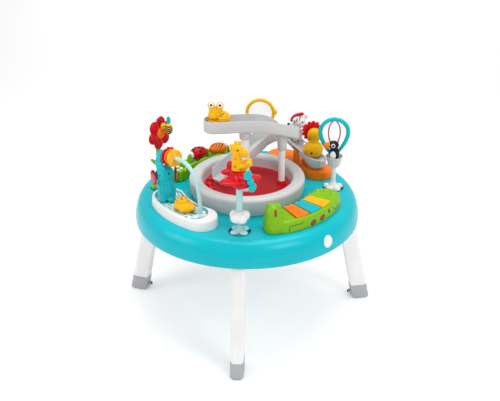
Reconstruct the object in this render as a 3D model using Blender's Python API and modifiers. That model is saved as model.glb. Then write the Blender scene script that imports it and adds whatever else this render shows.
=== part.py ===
"""Three-legged baby activity table with a spinning bowl, a spiral track and rim toys.

Metres, +Z up. The object stands on z = 0 with one leg towards -Y.
The tray's axis is TRAY_Y behind the origin, so the origin is the middle of the footprint.
"""
import math

import bmesh
import bpy
from mathutils import Matrix, Vector

# ---------------------------------------------------------------- driving dimensions
GAP = 0.0003                     # clearance left between touching pieces
TRAY_R = 0.360                   # outer radius of the tray skirt
TRAY_LOW = 0.354                 # height of the skirt's lower edge
DECK = 0.432                     # height of the tray's flat top
TRAY_WALL = 0.003
FOOT_R = 0.426                   # outer radius of the feet on the floor
LEG_TOP_R = 0.3515               # outer radius of a leg at the skirt's lower edge
LEG_DEPTH = 0.056                # leg size along the radius
LEG_FACE = 0.027                 # width of a leg's outer face
LEG_BACK = 0.040                 # width of a leg's inner face
LEG_TOP = 0.394
LEG_AZIMUTHS = {"front": -90.0, "right": 12.4, "left": 167.6}
CAP_TOP = 0.052                  # height of the foot caps
CAP_WALL = 0.0022
TRAY_Y = (FOOT_R - TRAY_R) / 2   # tray axis in the object's frame
HUB_HOLE_R = 0.062               # hole in the tray for the turntable's hub
BOWL_R = 0.183                   # outer radius of the bowl's rim
RIM_Z = 0.4915
FLOOR_Z = 0.4575                 # raised middle of the red bowl floor
TRACK_Z = 0.6655                 # underside of the level stretch of track
TRACK_HALF = 0.031               # half width of the track
TRACK_WALL = 0.0026
TRACK_HEIGHT = 0.040
TRACK_FLOOR = 0.0038
TRACK_STEPS = 3                  # loops of track between two control points
TRACK_SPLIT = 7                  # control point where the two mouldings meet
POST_LEFT = (-0.002, -0.050)
POST_RIGHT = (0.110, 0.012)
STEM_AT = (-0.001, -0.270)       # plane's stem
BALLOON_AT = (0.276, 0.046)
FLOWER_AT = (-0.281, 0.006)
MIRROR_AT = (0.022, 0.300)
SOCKET_R = 0.034                 # round sockets in the tray for the stalk toys
PLANE_NOSE = Vector((0.034, -0.296, 0.6075))
PLANE_TAIL = Vector((-0.038, -0.214, 0.6060))
PLANE_BANK = -7.0                # lean of its wings, outer wing up
PLANE_AXIS = (PLANE_NOSE - PLANE_TAIL).normalized()
COCKPIT = Vector((-0.006, -0.250, 0.6250))
TUB_R = (0.207, 0.313)           # inner and outer radius of the elephant's tub
TUB_SPAN = (-168.0, -106.0)      # its ends, as azimuths
TUB_WALL = 0.012
WATER_Z = 0.4570
ELEPHANT_AT = Vector((-0.2375, -0.1300, 0.0))
DUCK_R = 0.2598
DUCK_AZIMUTH = -131.7
CROC_R = (0.214, 0.311)
CROC_SPAN = (-71.0, -8.0)
CROC_Z = 0.4690
KEYS = (("key_orange", "orange", -51.5), ("key_turquoise", "turquoise", -41.5),
        ("key_yellow", "yellow", -31.5))
KEY_LOW = 0.4590
KEY_HINGE_R = 0.2290
PIVOT = Vector((0.167, 0.173, 0.506))     # see-saw axle
SEAT_DIRECTION = Vector((0.72, -0.69, 0.0)).normalized()
SEAT_TILT = 17.0
ARCH = [(-0.122, -0.228, 0.4530), (-0.1235, -0.2265, 0.500), (-0.130, -0.220, 0.550),
        (-0.146, -0.204, 0.588), (-0.170, -0.180, 0.606), (-0.200, -0.150, 0.606),
        (-0.232, -0.118, 0.600), (-0.2445, -0.1055, 0.598)]
ARCH_R = 0.0062
DISCS = (("disc_yellow", "yellow", 0.26, 0.0268, 0.0045, 0),
         ("disc_orange", "orange", 0.62, 0.0255, 0.0018, 0),
         ("disc_red", "red", 0.86, 0.0240, 0.0022, 12))
FLOWER_CENTRE = Vector((-0.277, 0.004, 0.6240))
FLOWER_FACING = Vector((0.87, -0.50, 0.05)).normalized()
BUCKET_AT = (-0.2400, 0.0820)
BUGS = (("ladybug", "red", 0.2500, 136.0, 0.4830, 0.0235),
        ("tiger_bug", "orange", 0.2520, 117.8, 0.4800, 0.0225))
TRACK_POINTS = [Vector(point) for point in (
    (-0.096, -0.069, TRACK_Z), (-0.050, -0.059, TRACK_Z), (0.000, -0.050, TRACK_Z),
    (0.050, -0.040, 0.6620), (0.092, -0.022, 0.6470), (0.122, 0.010, 0.6220),
    (0.132, 0.048, 0.5970), (0.118, 0.088, 0.5800), (0.086, 0.112, 0.5660),
    (0.048, 0.112, 0.5520), (0.016, 0.088, 0.5360), (-0.018, 0.050, 0.5150),
    (-0.054, 0.011, 0.4930), (-0.089, -0.027, 0.4735))]

COLOURS = {
    "turquoise": (0.010, 0.510, 0.600), "white": (0.86, 0.86, 0.85),
    "light_grey": (0.58, 0.60, 0.60), "foot_grey": (0.45, 0.46, 0.47),
    "red": (0.66, 0.010, 0.020), "yellow": (0.93, 0.54, 0.005), "orange": (0.95, 0.24, 0.02),
    "green": (0.24, 0.50, 0.015), "aqua": (0.45, 0.78, 0.78), "clear": (0.85, 0.88, 0.88),
    "black": (0.02, 0.02, 0.022), "steel": (0.55, 0.56, 0.58), "rubber": (0.08, 0.08, 0.085),
}

# ---------------------------------------------------------------- scene and materials
for old in list(bpy.data.objects):
    bpy.data.objects.remove(old, do_unlink=True)

PARTS = bpy.data.collections.new("activity_table")
CUTTERS = bpy.data.collections.new("cutters")
bpy.context.scene.collection.children.link(PARTS)
bpy.context.scene.collection.children.link(CUTTERS)


def colour(name):
    """Return the named material, made on first use."""
    found = bpy.data.materials.get(name)
    if found:
        return found
    made = bpy.data.materials.new(name)
    made.use_nodes = True
    shader = made.node_tree.nodes["Principled BSDF"]
    shader.inputs["Base Color"].default_value = (*COLOURS[name], 1.0)
    shader.inputs["Roughness"].default_value = 0.35
    shader.inputs["Metallic"].default_value = 1.0 if name == "steel" else 0.0
    return made


def empty(name, location, parent=None):
    """Add an empty that pieces hang from."""
    made = bpy.data.objects.new(name, None)
    PARTS.objects.link(made)
    made.parent = parent
    made.location = location
    return made


TABLE = empty("table_axis", (0.0, TRAY_Y, 0.0))


def polar(radius, azimuth, height=0.0):
    """Point at a radius and azimuth about the tray's axis."""
    angle = math.radians(azimuth)
    return Vector((radius * math.cos(angle), radius * math.sin(angle), height))


def turn_z(azimuth):
    return Matrix.Rotation(math.radians(azimuth), 4, "Z")


def aim(direction, up=(0.0, 0.0, 1.0)):
    """Rotation that carries +Z to a direction, keeping +Y as near to up as it can."""
    z_axis = Vector(direction).normalized()
    x_axis = Vector(up).cross(z_axis)
    if x_axis.length < 1e-6:
        x_axis = Vector((1.0, 0.0, 0.0))
    x_axis.normalize()
    y_axis = z_axis.cross(x_axis)
    return Matrix((x_axis, y_axis, z_axis)).transposed().to_4x4()


# ---------------------------------------------------------------- shape helpers
def mesh_object(name, bm, collection=CUTTERS):
    """Store a bmesh as an object."""
    bmesh.ops.recalc_face_normals(bm, faces=bm.faces)
    mesh = bpy.data.meshes.new(name)
    bm.to_mesh(mesh)
    bm.free()
    made = bpy.data.objects.new(name, mesh)
    collection.objects.link(made)
    return made


def ball(centre, radii, turn=None, segments=10, rings=7):
    """Ellipsoid."""
    bm = bmesh.new()
    bmesh.ops.create_uvsphere(bm, u_segments=segments, v_segments=rings, radius=1.0)
    matrix = Matrix.Translation(centre) @ (turn or Matrix()) @ Matrix.Diagonal((*radii, 1.0))
    bmesh.ops.transform(bm, matrix=matrix, verts=bm.verts)
    return mesh_object("ball", bm)


def rod(start, end, radius, end_radius=None, segments=12):
    """Cylinder or cone between two points."""
    start = Vector(start)
    end = Vector(end)
    bm = bmesh.new()
    bmesh.ops.create_cone(bm, cap_ends=True, segments=segments, radius1=radius,
                          radius2=radius if end_radius is None else end_radius,
                          depth=(end - start).length)
    matrix = Matrix.Translation((start + end) / 2) @ aim(end - start)
    bmesh.ops.transform(bm, matrix=matrix, verts=bm.verts)
    return mesh_object("rod", bm)


def block(centre, size, turn=None, bevel=0.0):
    """Box, with its edges rounded when bevel is given."""
    bm = bmesh.new()
    bmesh.ops.create_cube(bm, size=1.0)
    bmesh.ops.transform(bm, matrix=Matrix.Diagonal((*size, 1.0)), verts=bm.verts)
    if bevel:
        bmesh.ops.bevel(bm, geom=bm.edges[:], offset=bevel, segments=2, profile=0.5,
                        affect="EDGES", clamp_overlap=True)
    matrix = Matrix.Translation(centre) @ (turn or Matrix())
    bmesh.ops.transform(bm, matrix=matrix, verts=bm.verts)
    return mesh_object("block", bm)


def torus(centre, major, minor, turn, segments, sides):
    """Round ring lying in its own XY plane before turn."""
    loops = []
    for i in range(segments):
        angle = 2 * math.pi * i / segments
        outward = Vector((math.cos(angle), math.sin(angle), 0.0))
        loop = []
        for j in range(sides):
            around = 2 * math.pi * j / sides
            offset = outward * math.cos(around) + Vector((0.0, 0.0, math.sin(around)))
            loop.append(outward * major + offset * minor)
        loops.append(loop)
    made = loft(loops, closed=True)
    made.data.transform(Matrix.Translation(centre) @ (turn or Matrix()))
    return made


def loft(loops, closed=False):
    """Skin between equal loops of points; open lofts get flat ends."""
    bm = bmesh.new()
    rows = [[bm.verts.new(point) for point in loop] for loop in loops]
    count = len(rows[0])
    pairs = list(zip(rows, rows[1:]))
    if closed:
        pairs.append((rows[-1], rows[0]))
    for lower, upper in pairs:
        for i in range(count):
            j = (i + 1) % count
            bm.faces.new((lower[i], lower[j], upper[j], upper[i]))
    if not closed:
        bm.faces.new(list(reversed(rows[0])))
        bm.faces.new(rows[-1])
    return mesh_object("loft", bm)


def turned(profile, steps=32, centre=(0.0, 0.0, 0.0), turn=None):
    """Turn a profile of (radius, height) points about its own Z axis."""
    mesh = bpy.data.meshes.new("profile")
    edges = [(i, i + 1) for i in range(len(profile) - 1)]
    if profile[0][0] > 0.0 or profile[-1][0] > 0.0:
        edges.append((len(profile) - 1, 0))
    mesh.from_pydata([(radius, 0.0, height) for radius, height in profile], edges, [])
    made = bpy.data.objects.new("turned", mesh)
    CUTTERS.objects.link(made)
    screw = made.modifiers.new("Screw", "SCREW")
    screw.steps = steps
    screw.render_steps = steps
    screw.use_merge_vertices = True
    screw.merge_threshold = 0.00001
    baked = bake(made)
    baked.data.transform(Matrix.Translation(centre) @ (turn or Matrix()))
    return baked


def tube(points, radius, sides=8, tip=None):
    """Smooth round bar through points, narrowing to tip at its far end."""
    path = smooth_path([Vector(point) for point in points], 2)
    loops = []
    for i, point in enumerate(path):
        before = path[max(i - 1, 0)]
        after = path[min(i + 1, len(path) - 1)]
        share = i / (len(path) - 1)
        size = radius if tip is None else radius + (tip - radius) * share
        frame = Matrix.Translation(point) @ aim(after - before, up=(0.3, 0.9, 0.2))
        loops.append([frame @ Vector((size * math.cos(2 * math.pi * k / sides),
                                      size * math.sin(2 * math.pi * k / sides), 0.0))
                      for k in range(sides)])
    return loft(loops)


def smooth_path(points, steps):
    """Points along a Catmull-Rom curve through the given ones."""
    path = []
    last = len(points) - 1
    for i in range(last):
        p0 = points[max(i - 1, 0)]
        p1 = points[i]
        p2 = points[i + 1]
        p3 = points[min(i + 2, last)]
        for j in range(steps):
            t = j / steps
            path.append(0.5 * (2 * p1 + (p2 - p0) * t + (2 * p0 - 5 * p1 + 4 * p2 - p3) * t * t
                               + (3 * p1 - p0 - 3 * p2 + p3) * t * t * t))
    path.append(points[last])
    return path


def bake(source):
    """Replace an object with the mesh its modifiers give."""
    depsgraph = bpy.context.evaluated_depsgraph_get()
    depsgraph.update()
    mesh = bpy.data.meshes.new_from_object(source.evaluated_get(depsgraph))
    bm = bmesh.new()
    bm.from_mesh(mesh)
    bmesh.ops.remove_doubles(bm, verts=bm.verts, dist=0.00001)
    drop_flat_islands(bm)
    bmesh.ops.recalc_face_normals(bm, faces=bm.faces)
    bm.to_mesh(mesh)
    bm.free()
    source.modifiers.clear()
    source.data = mesh
    return source


def drop_flat_islands(bm):
    """Remove pairs of faces that lie back to back with nothing between them."""
    twins = [face for face in bm.faces
             if len({near for edge in face.edges for near in edge.link_faces}) < 3]
    bmesh.ops.delete(bm, geom=twins, context="FACES")


def combine(target, others, operation="UNION"):
    """Join or cut a shape with others, which are used up."""
    for other in others:
        cut = target.modifiers.new("Boolean", "BOOLEAN")
        cut.operation = operation
        cut.solver = "EXACT"
        cut.object = other
        bake(target)
        bpy.data.objects.remove(other, do_unlink=True)
    return target


def cut(target, others):
    return combine(target, others, "DIFFERENCE")


def node(name, shape, slot, parent=TABLE, pivot=(0.0, 0.0, 0.0), sharp=35.0):
    """Name a finished shape, put its origin on its pivot and hang it from its parent."""
    shape.name = name
    shape.data.name = name
    shape.data.transform(Matrix.Translation(-Vector(pivot)))
    shape.location = Vector(pivot)
    shape.parent = parent
    shape.data.materials.clear()
    shape.data.materials.append(colour(slot))
    shape.data.shade_smooth()
    shape.data.set_sharp_from_angle(angle=math.radians(sharp))
    CUTTERS.objects.unlink(shape)
    PARTS.objects.link(shape)
    return shape


def rounded_loop(half_x, half_y, radius, steps=2):
    """Corners of a rounded rectangle about the origin, anticlockwise."""
    points = []
    for sign_x, sign_y, start in ((1, 1, 0), (-1, 1, 90), (-1, -1, 180), (1, -1, 270)):
        for i in range(steps + 1):
            angle = math.radians(start + 90 * i / steps)
            points.append(Vector((sign_x * (half_x - radius) + radius * math.cos(angle),
                                  sign_y * (half_y - radius) + radius * math.sin(angle), 0.0)))
    return points


def arc_block(radius_in, radius_out, start, end, low, high, round_end=0.0, edge=0.004,
              steps=14, lean=0.0):
    """Block bent round the tray's axis, with rounded ends and a rounded top edge."""
    middle = (radius_in + radius_out) / 2
    half = (radius_out - radius_in) / 2
    loops = []
    for i in range(steps + 1):
        share = i / steps
        eased = 0.5 - 0.5 * math.cos(math.pi * share)
        azimuth = start + (end - start) * eased
        distance = min(eased, 1 - eased) * math.radians(abs(end - start)) * middle
        width = half
        if round_end and distance < round_end:
            depth = 1 - distance / round_end
            width = half * math.sqrt(max(1 - depth * depth, 0.10))
        loops.append([
            polar(middle - width, azimuth, low),
            polar(middle - width + lean, azimuth, high - edge),
            polar(middle - width + lean + edge, azimuth, high),
            polar(middle + width - lean - edge, azimuth, high),
            polar(middle + width - lean, azimuth, high - edge),
            polar(middle + width, azimuth, low),
        ])
    return loft(loops)


# ---------------------------------------------------------------- tray, legs and feet
def leg_frame(azimuth, height):
    """Frame at a height on a leg's axis, x outward along the radius."""
    splay = (FOOT_R - LEG_TOP_R) / TRAY_LOW
    radius = FOOT_R - CAP_WALL - splay * height - LEG_DEPTH / 2
    return turn_z(azimuth) @ Matrix.Translation((radius, 0.0, height))


def leg_solid(azimuth, low, high, grow=0.0):
    """Length of leg, wider towards the tray's axis, grown by a margin on every side."""
    outline = rounded_loop(LEG_DEPTH / 2 + grow, LEG_BACK / 2 + grow, 0.007 + grow)
    taper = (1 - LEG_FACE / LEG_BACK) / LEG_DEPTH
    section = [Vector((point.x, point.y * (1 - taper * (point.x + LEG_DEPTH / 2)), 0.0))
               for point in outline]
    return loft([[leg_frame(azimuth, height) @ point for point in section]
                 for height in (low, high)])


def build_tray():
    outer = [(HUB_HOLE_R, DECK), (0.316, DECK), (0.334, 0.4283), (0.3475, 0.4150),
             (0.3560, 0.3950), (TRAY_R, 0.3700), (TRAY_R, TRAY_LOW)]
    inner = [(TRAY_R - TRAY_WALL, TRAY_LOW), (TRAY_R - TRAY_WALL, 0.3695), (0.3532, 0.3940),
             (0.3452, 0.4128), (0.3326, 0.4255), (0.3157, DECK - TRAY_WALL)]
    profile = outer + inner + [(HUB_HOLE_R, DECK - TRAY_WALL)]
    shell = turned(profile, steps=40)
    holes = [rod((x, y, DECK - 0.02), (x, y, DECK + 0.02), SOCKET_R, segments=18)
             for x, y in (STEM_AT, BALLOON_AT, FLOWER_AT)]
    holes.append(rod((*MIRROR_AT, DECK - 0.02), (*MIRROR_AT, DECK + 0.02), 0.008))
    node("tray_shell", cut(shell, holes), "turquoise")

    low = TRAY_LOW + 0.0045
    plate = turned([(0.2, low + 0.003), (0.3545, low + 0.003), (0.3545, low), (0.2, low)], steps=36)
    sockets = []
    bores = []
    for azimuth in LEG_AZIMUTHS.values():
        sockets.append(leg_solid(azimuth, low + 0.0005, 0.397, grow=0.0030))
        bores.append(leg_solid(azimuth, low - 0.01, LEG_TOP + GAP, grow=GAP))
    node("tray_underpan", cut(combine(plate, sockets), bores), "white")


def build_legs():
    for side, azimuth in LEG_AZIMUTHS.items():
        node("leg_" + side, leg_solid(azimuth, 0.0125, LEG_TOP), "white")
        cap = leg_solid(azimuth, 0.003, CAP_TOP, grow=CAP_WALL)
        toe_at = leg_frame(azimuth, 0.018) @ Matrix.Translation((-LEG_DEPTH / 2 - 0.006, 0, 0))
        toe = block((0, 0, 0), (0.022, 0.014, 0.018), toe_at, bevel=0.003)
        pocket = leg_solid(azimuth, 0.0122, CAP_TOP + 0.02, grow=GAP)
        node("foot_" + side, cut(combine(cap, [toe]), [pocket]), "foot_grey")
        node("pad_" + side, leg_solid(azimuth, 0.0, 0.0027, grow=-0.001), "rubber")


# ---------------------------------------------------------------- turntable and track
def track_path():
    """Points along the whole track, with the level direction across it at each."""
    path = smooth_path(TRACK_POINTS, TRACK_STEPS)
    across = []
    for i in range(len(path)):
        along = path[min(i + 1, len(path) - 1)] - path[max(i - 1, 0)]
        across.append(Vector((along.y, -along.x, 0.0)).normalized())
    return path, across


def channel(first, last, lead=0.0, closed_start=False):
    """U-shaped length of track between two points of its path."""
    path, across = track_path()
    path = path[first:last + 1]
    across = across[first:last + 1]
    path[0] = path[0] + (path[1] - path[0]).normalized() * lead
    outer = TRACK_HALF
    inner = TRACK_HALF - TRACK_WALL
    floor = TRACK_FLOOR
    section = ((-outer + 0.006, 0.0), (outer - 0.006, 0.0), (outer, 0.006), (outer, TRACK_HEIGHT),
               (inner, TRACK_HEIGHT), (inner, floor + 0.004), (inner - 0.005, floor),
               (-inner + 0.005, floor), (-inner, floor + 0.004), (-inner, TRACK_HEIGHT),
               (-outer, TRACK_HEIGHT), (-outer, 0.006))
    loops = [[point + side * offset + Vector((0.0, 0.0, up)) for offset, up in section]
             for point, side in zip(path, across)]
    trough = loft(loops)
    if closed_start:
        start = path[0]
        trough = combine(trough, [turned(
            [(0.0, 0.0), (outer - 0.006, 0.0), (outer, 0.006), (outer, TRACK_HEIGHT),
             (0.0, TRACK_HEIGHT)][::-1], steps=24, centre=start)])
        back = path[1] - path[0]
        hollow = turned([(0.0, TRACK_HEIGHT + 0.01), (inner, TRACK_HEIGHT + 0.01),
                         (inner, floor + 0.004), (inner - 0.005, floor), (0.0, floor)],
                        steps=24, centre=start)
        side = across[0]
        reach = []
        for distance in (0.0, 1.0):
            point = start + back.normalized() * (distance * (outer + 0.008))
            reach.append([point + side * offset + Vector((0.0, 0.0, up)) for offset, up in (
                (inner - 0.005, floor), (inner, floor + 0.004), (inner, TRACK_HEIGHT + 0.01),
                (-inner, TRACK_HEIGHT + 0.01), (-inner, floor + 0.004), (-inner + 0.005, floor))])
        trough = cut(trough, [combine(hollow, [loft(reach)])])
    return trough


def build_turntable():
    ring = [(0.1780, 0.4326), (0.1828, 0.4770), (BOWL_R, 0.4840), (0.1780, 0.4890),
            (0.1640, RIM_Z), (0.1500, 0.4890), (0.1445, 0.4820), (0.1412, 0.4490),
            (0.1200, 0.4490), (0.1200, 0.4465), (0.1438, 0.4465), (0.1475, 0.4815),
            (0.1640, 0.4885), (0.1798, 0.4815), (0.1752, 0.4326)]
    node("bowl_ring", turned(ring[::-1], steps=36), "light_grey")

    floor = turned([(0.0, FLOOR_Z), (0.1110, FLOOR_Z), (0.1130, FLOOR_Z - 0.0025),
                    (0.1385, FLOOR_Z - 0.0015), (0.1400, 0.4495), (0.0, 0.4495)], steps=32)
    bumps = [ball(polar(0.1215, azimuth, FLOOR_Z - 0.003), (0.0135, 0.0135, 0.0150), segments=12)
             for azimuth in (174, 190, 206, 222, 238)]
    bosses = [rod((*POST_RIGHT, FLOOR_Z - 0.004), (*POST_RIGHT, FLOOR_Z + 0.012), 0.0150, 0.0135),
              rod((*POST_LEFT, FLOOR_Z - 0.004), (*POST_LEFT, FLOOR_Z + 0.004), 0.0190)]
    floor = combine(floor, bumps + bosses)
    node("bowl_floor", cut(floor, [rod((0, 0, 0.430), (0, 0, 0.4495), 0.2, segments=24)]), "red")

    left_foot = FLOOR_Z + 0.004 + GAP
    right_foot = FLOOR_Z + 0.012 + GAP
    node("post_left", rod((*POST_LEFT, left_foot), (*POST_LEFT, 0.6440), 0.0145, 0.0135), "white")
    node("post_right", rod((*POST_RIGHT, right_foot), (*POST_RIGHT, 0.5840), 0.0105, 0.0100), "white")
    collar = cut(rod((*POST_LEFT, 0.637), (*POST_LEFT, TRACK_Z + 0.001), 0.0172, 0.0185, segments=20),
                 [rod((*POST_LEFT, 0.630), (*POST_LEFT, 0.6443), 0.0149)])
    section = [turn_z(35) @ point + Vector((*POST_RIGHT, 0.0))
               for point in rounded_loop(0.0175, 0.0155, 0.006)]
    bracket = loft([[Vector((point.x, point.y, 0.5750)) for point in section],
                    [Vector((point.x, point.y, under_track(point) + 0.0015)) for point in section]])
    bracket = cut(bracket, [rod((*POST_RIGHT, 0.570), (*POST_RIGHT, 0.5843), 0.0109)])

    upper = channel(0, TRACK_STEPS * TRACK_SPLIT, closed_start=True)
    node("track_upper", combine(upper, [collar, bracket]), "light_grey")
    lower = channel(TRACK_STEPS * TRACK_SPLIT, TRACK_STEPS * (len(TRACK_POINTS) - 1), lead=0.0008)
    node("track_lower", lower, "light_grey")

    hub = [(0.0570, 0.4492), (0.0600, 0.4492), (0.0600, 0.4285), (0.0720, 0.4285),
           (0.0720, 0.4250), (0.0570, 0.4250)]
    node("turntable_retainer", turned(hub, steps=28), "white")
    race = [(0.1000, 0.4491), (0.1120, 0.4491), (0.1120, DECK + GAP), (0.1000, DECK + GAP)]
    node("turntable_bearing", turned(race, steps=28), "white")


def under_track(point):
    """Height of the track's underside over a point beside the right post, taken as a plane."""
    path, _ = track_path()
    near = min(range(1, len(path) - 1), key=lambda i: (path[i].xy - Vector(POST_RIGHT)).length)
    along = path[near + 1] - path[near - 1]
    travel = (point.xy - path[near].xy).dot(along.xy) / along.xy.length_squared
    return path[near].z + along.z * travel


def build_snail():
    along = (TRACK_POINTS[1] - TRACK_POINTS[0]).normalized()
    turn = aim(along)
    centre = TRACK_POINTS[0] + along * 0.016 + Vector((0.0, 0.0, 0.0258))
    body = ball(centre, (0.0250, 0.0213, 0.0350), turn, segments=12, rings=8)
    shell = ball(centre + along * 0.010 + Vector((0, 0, 0.016)), (0.0245, 0.023, 0.0265), turn)
    face = [ball(centre - along * 0.013 + Vector((0, 0, 0.027)), (0.018, 0.018, 0.019))]
    for offset in (-0.004, 0.0225):
        eye = centre - along * 0.018 + Vector((offset, -0.006, 0.061))
        root = centre - along * 0.016 + Vector((offset * 0.6, -0.002, 0.032))
        face.append(rod(root, eye, 0.0095, 0.0085, 10))
        face.append(ball(eye, (0.0115, 0.0110, 0.0115)))
    node("snail", combine(body, [shell] + face), "yellow", pivot=centre)


# ---------------------------------------------------------------- plane on its stem
def lobed_base(at, lobes, reach, low, high, turn=0.0):
    """Disc of round lobes about a stalk, resting on the tray."""
    pieces = [rod((at[0], at[1], low), (at[0], at[1], high), reach * 0.50, segments=12)]
    for i in range(lobes):
        angle = math.radians(turn + 360 * i / lobes)
        centre = (at[0] + reach * 0.62 * math.cos(angle), at[1] + reach * 0.62 * math.sin(angle))
        pieces.append(rod((*centre, low), (*centre, high - 0.0008), reach * 0.40,
                          reach * 0.34, segments=10))
    return combine(pieces[0], pieces[1:])


def build_plane():
    x, y = STEM_AT
    base = lobed_base(STEM_AT, 4, 0.0330, DECK - 0.012, DECK + 0.0075, turn=45)
    cone = rod((x, y, DECK + 0.005), (x, y, 0.4520), 0.0105, 0.0085)
    stem = rod((x, y, 0.4400), (x, y, 0.5740), 0.0038, segments=12)
    sleeve = rod((x, y, 0.5025), (x, y, 0.5650), 0.0095, 0.0100)
    node("plane_stem", combine(base, [cone, stem, sleeve]), "aqua")

    puffs = [ball((x, y, 0.4780), (0.0235, 0.0215, 0.0205), segments=10, rings=7)]
    for i in range(5):
        angle = math.radians(72 * i - 60)
        puffs.append(ball((x + 0.015 * math.cos(angle), y + 0.015 * math.sin(angle),
                           0.4795 + 0.006 * math.sin(2.3 * i)), (0.0165, 0.0165, 0.0155),
                          segments=10, rings=7))
    cloud = combine(puffs[0], puffs[1:])
    cloud = cut(cloud, [rod((x, y, 0.44), (x, y, 0.51), 0.0042, segments=12)])
    cloud = cut(cloud, [rod((x, y, 0.40), (x, y, 0.4528), 0.05),
                        rod((x, y, 0.5017), (x, y, 0.53), 0.05)])
    node("cloud", cloud, "white", pivot=(x, y, 0.478))

    middle = (PLANE_NOSE + PLANE_TAIL) / 2
    turn = aim(PLANE_AXIS) @ turn_z(PLANE_BANK)
    body = ball(middle + Vector((0, 0, -0.008)), (0.0270, 0.0270, 0.0450), turn, 12, 8)
    cowl = rod(PLANE_NOSE - PLANE_AXIS * 0.030, PLANE_NOSE - PLANE_AXIS * 0.0085, 0.0215, 0.0160)
    wing_at = middle + PLANE_AXIS * 0.004 - Vector((0, 0, 0.010))
    wing = ball(wing_at, (0.0740, 0.0055, 0.0230), turn, 14, 6)
    tail_at = PLANE_TAIL + PLANE_AXIS * 0.010
    fin = ball(tail_at + Vector((0, 0, 0.012)), (0.0040, 0.0200, 0.0135), turn, 8, 5)
    tail = ball(tail_at + Vector((0, 0, -0.002)), (0.0285, 0.0050, 0.0130), turn, 10, 7)
    keel = rod((x, y, 0.5655), (x, y, 0.600), 0.0130, segments=14)
    plane = combine(body, [cowl, wing, fin, tail, keel])
    plane = cut(plane, [rod(COCKPIT, COCKPIT + Vector((0, 0, 0.06)), 0.0290, segments=16),
                        rod((x, y, 0.5600), (x, y, 0.5745), 0.0042, segments=12),
                        rod(PLANE_NOSE - PLANE_AXIS * 0.022, PLANE_NOSE, 0.0030, segments=10)])
    node("plane", plane, "red", pivot=(x, y, 0.60))

    lobes = []
    lean = Vector((-0.5, 0.0, 1.0))
    direction = (lean - PLANE_AXIS * PLANE_AXIS.dot(lean)).normalized()
    hub = PLANE_NOSE - PLANE_AXIS * 0.0030
    for sign in (-1, 1):
        lobe_at = hub + direction * (0.0230 * sign)
        lobes.append(rod(lobe_at - PLANE_AXIS * 0.0032, lobe_at + PLANE_AXIS * 0.0032,
                         0.0145, 0.0135, 18))
    lobes.append(rod(hub - PLANE_AXIS * 0.0034, hub + PLANE_AXIS * 0.0062, 0.0105, 0.0080, 14))
    lobes.append(rod(hub - PLANE_AXIS * 0.0160, hub, 0.0026, segments=10))
    node("propeller", combine(lobes[-2], lobes[:2] + lobes[3:]), "turquoise", pivot=hub)

    neck_base = COCKPIT + Vector((0, 0, GAP))
    neck = loft([[Vector((point.x + neck_base.x + shift, point.y + neck_base.y, height))
                  for point in rounded_loop(half_x, half_y, min(half_x, half_y) * 0.7)]
                 for half_x, half_y, shift, height in (
                     (0.0235, 0.0185, 0.0045, neck_base.z), (0.0215, 0.0175, 0.003, 0.637),
                     (0.0150, 0.0140, -0.003, 0.656), (0.0125, 0.0120, -0.005, 0.672),
                     (0.0105, 0.0100, -0.006, 0.690))])
    head_at = Vector((-0.008, -0.249, 0.686))
    head = ball(head_at, (0.0165, 0.0130, 0.0145))
    snout = ball(head_at + Vector((0.017, -0.002, -0.010)), (0.0170, 0.0115, 0.0105),
                 Matrix.Rotation(math.radians(22), 4, "Y"))
    horns = [rod(head_at + Vector((dx, 0.002, 0.008)), head_at + Vector((dx * 1.2, 0.002, 0.0255)),
                 0.0042, 0.0050, 8) for dx in (-0.0065, 0.0060)]
    ears = [ball(head_at + Vector((-0.0165, dy, 0.008)), (0.0085, 0.0045, 0.0055), None, 8, 5)
            for dy in (-0.006, 0.008)]
    arm = ball(Vector((0.014, -0.262, 0.644)), (0.0155, 0.0085, 0.0085),
               Matrix.Rotation(math.radians(-18), 4, "Y"))
    fist = ball(Vector((0.0275, -0.264, 0.650)), (0.0090, 0.0088, 0.0090), None, 8, 5)
    giraffe = combine(neck, [head, snout] + horns + ears + [arm, fist])
    node("giraffe", giraffe, "yellow")


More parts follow.
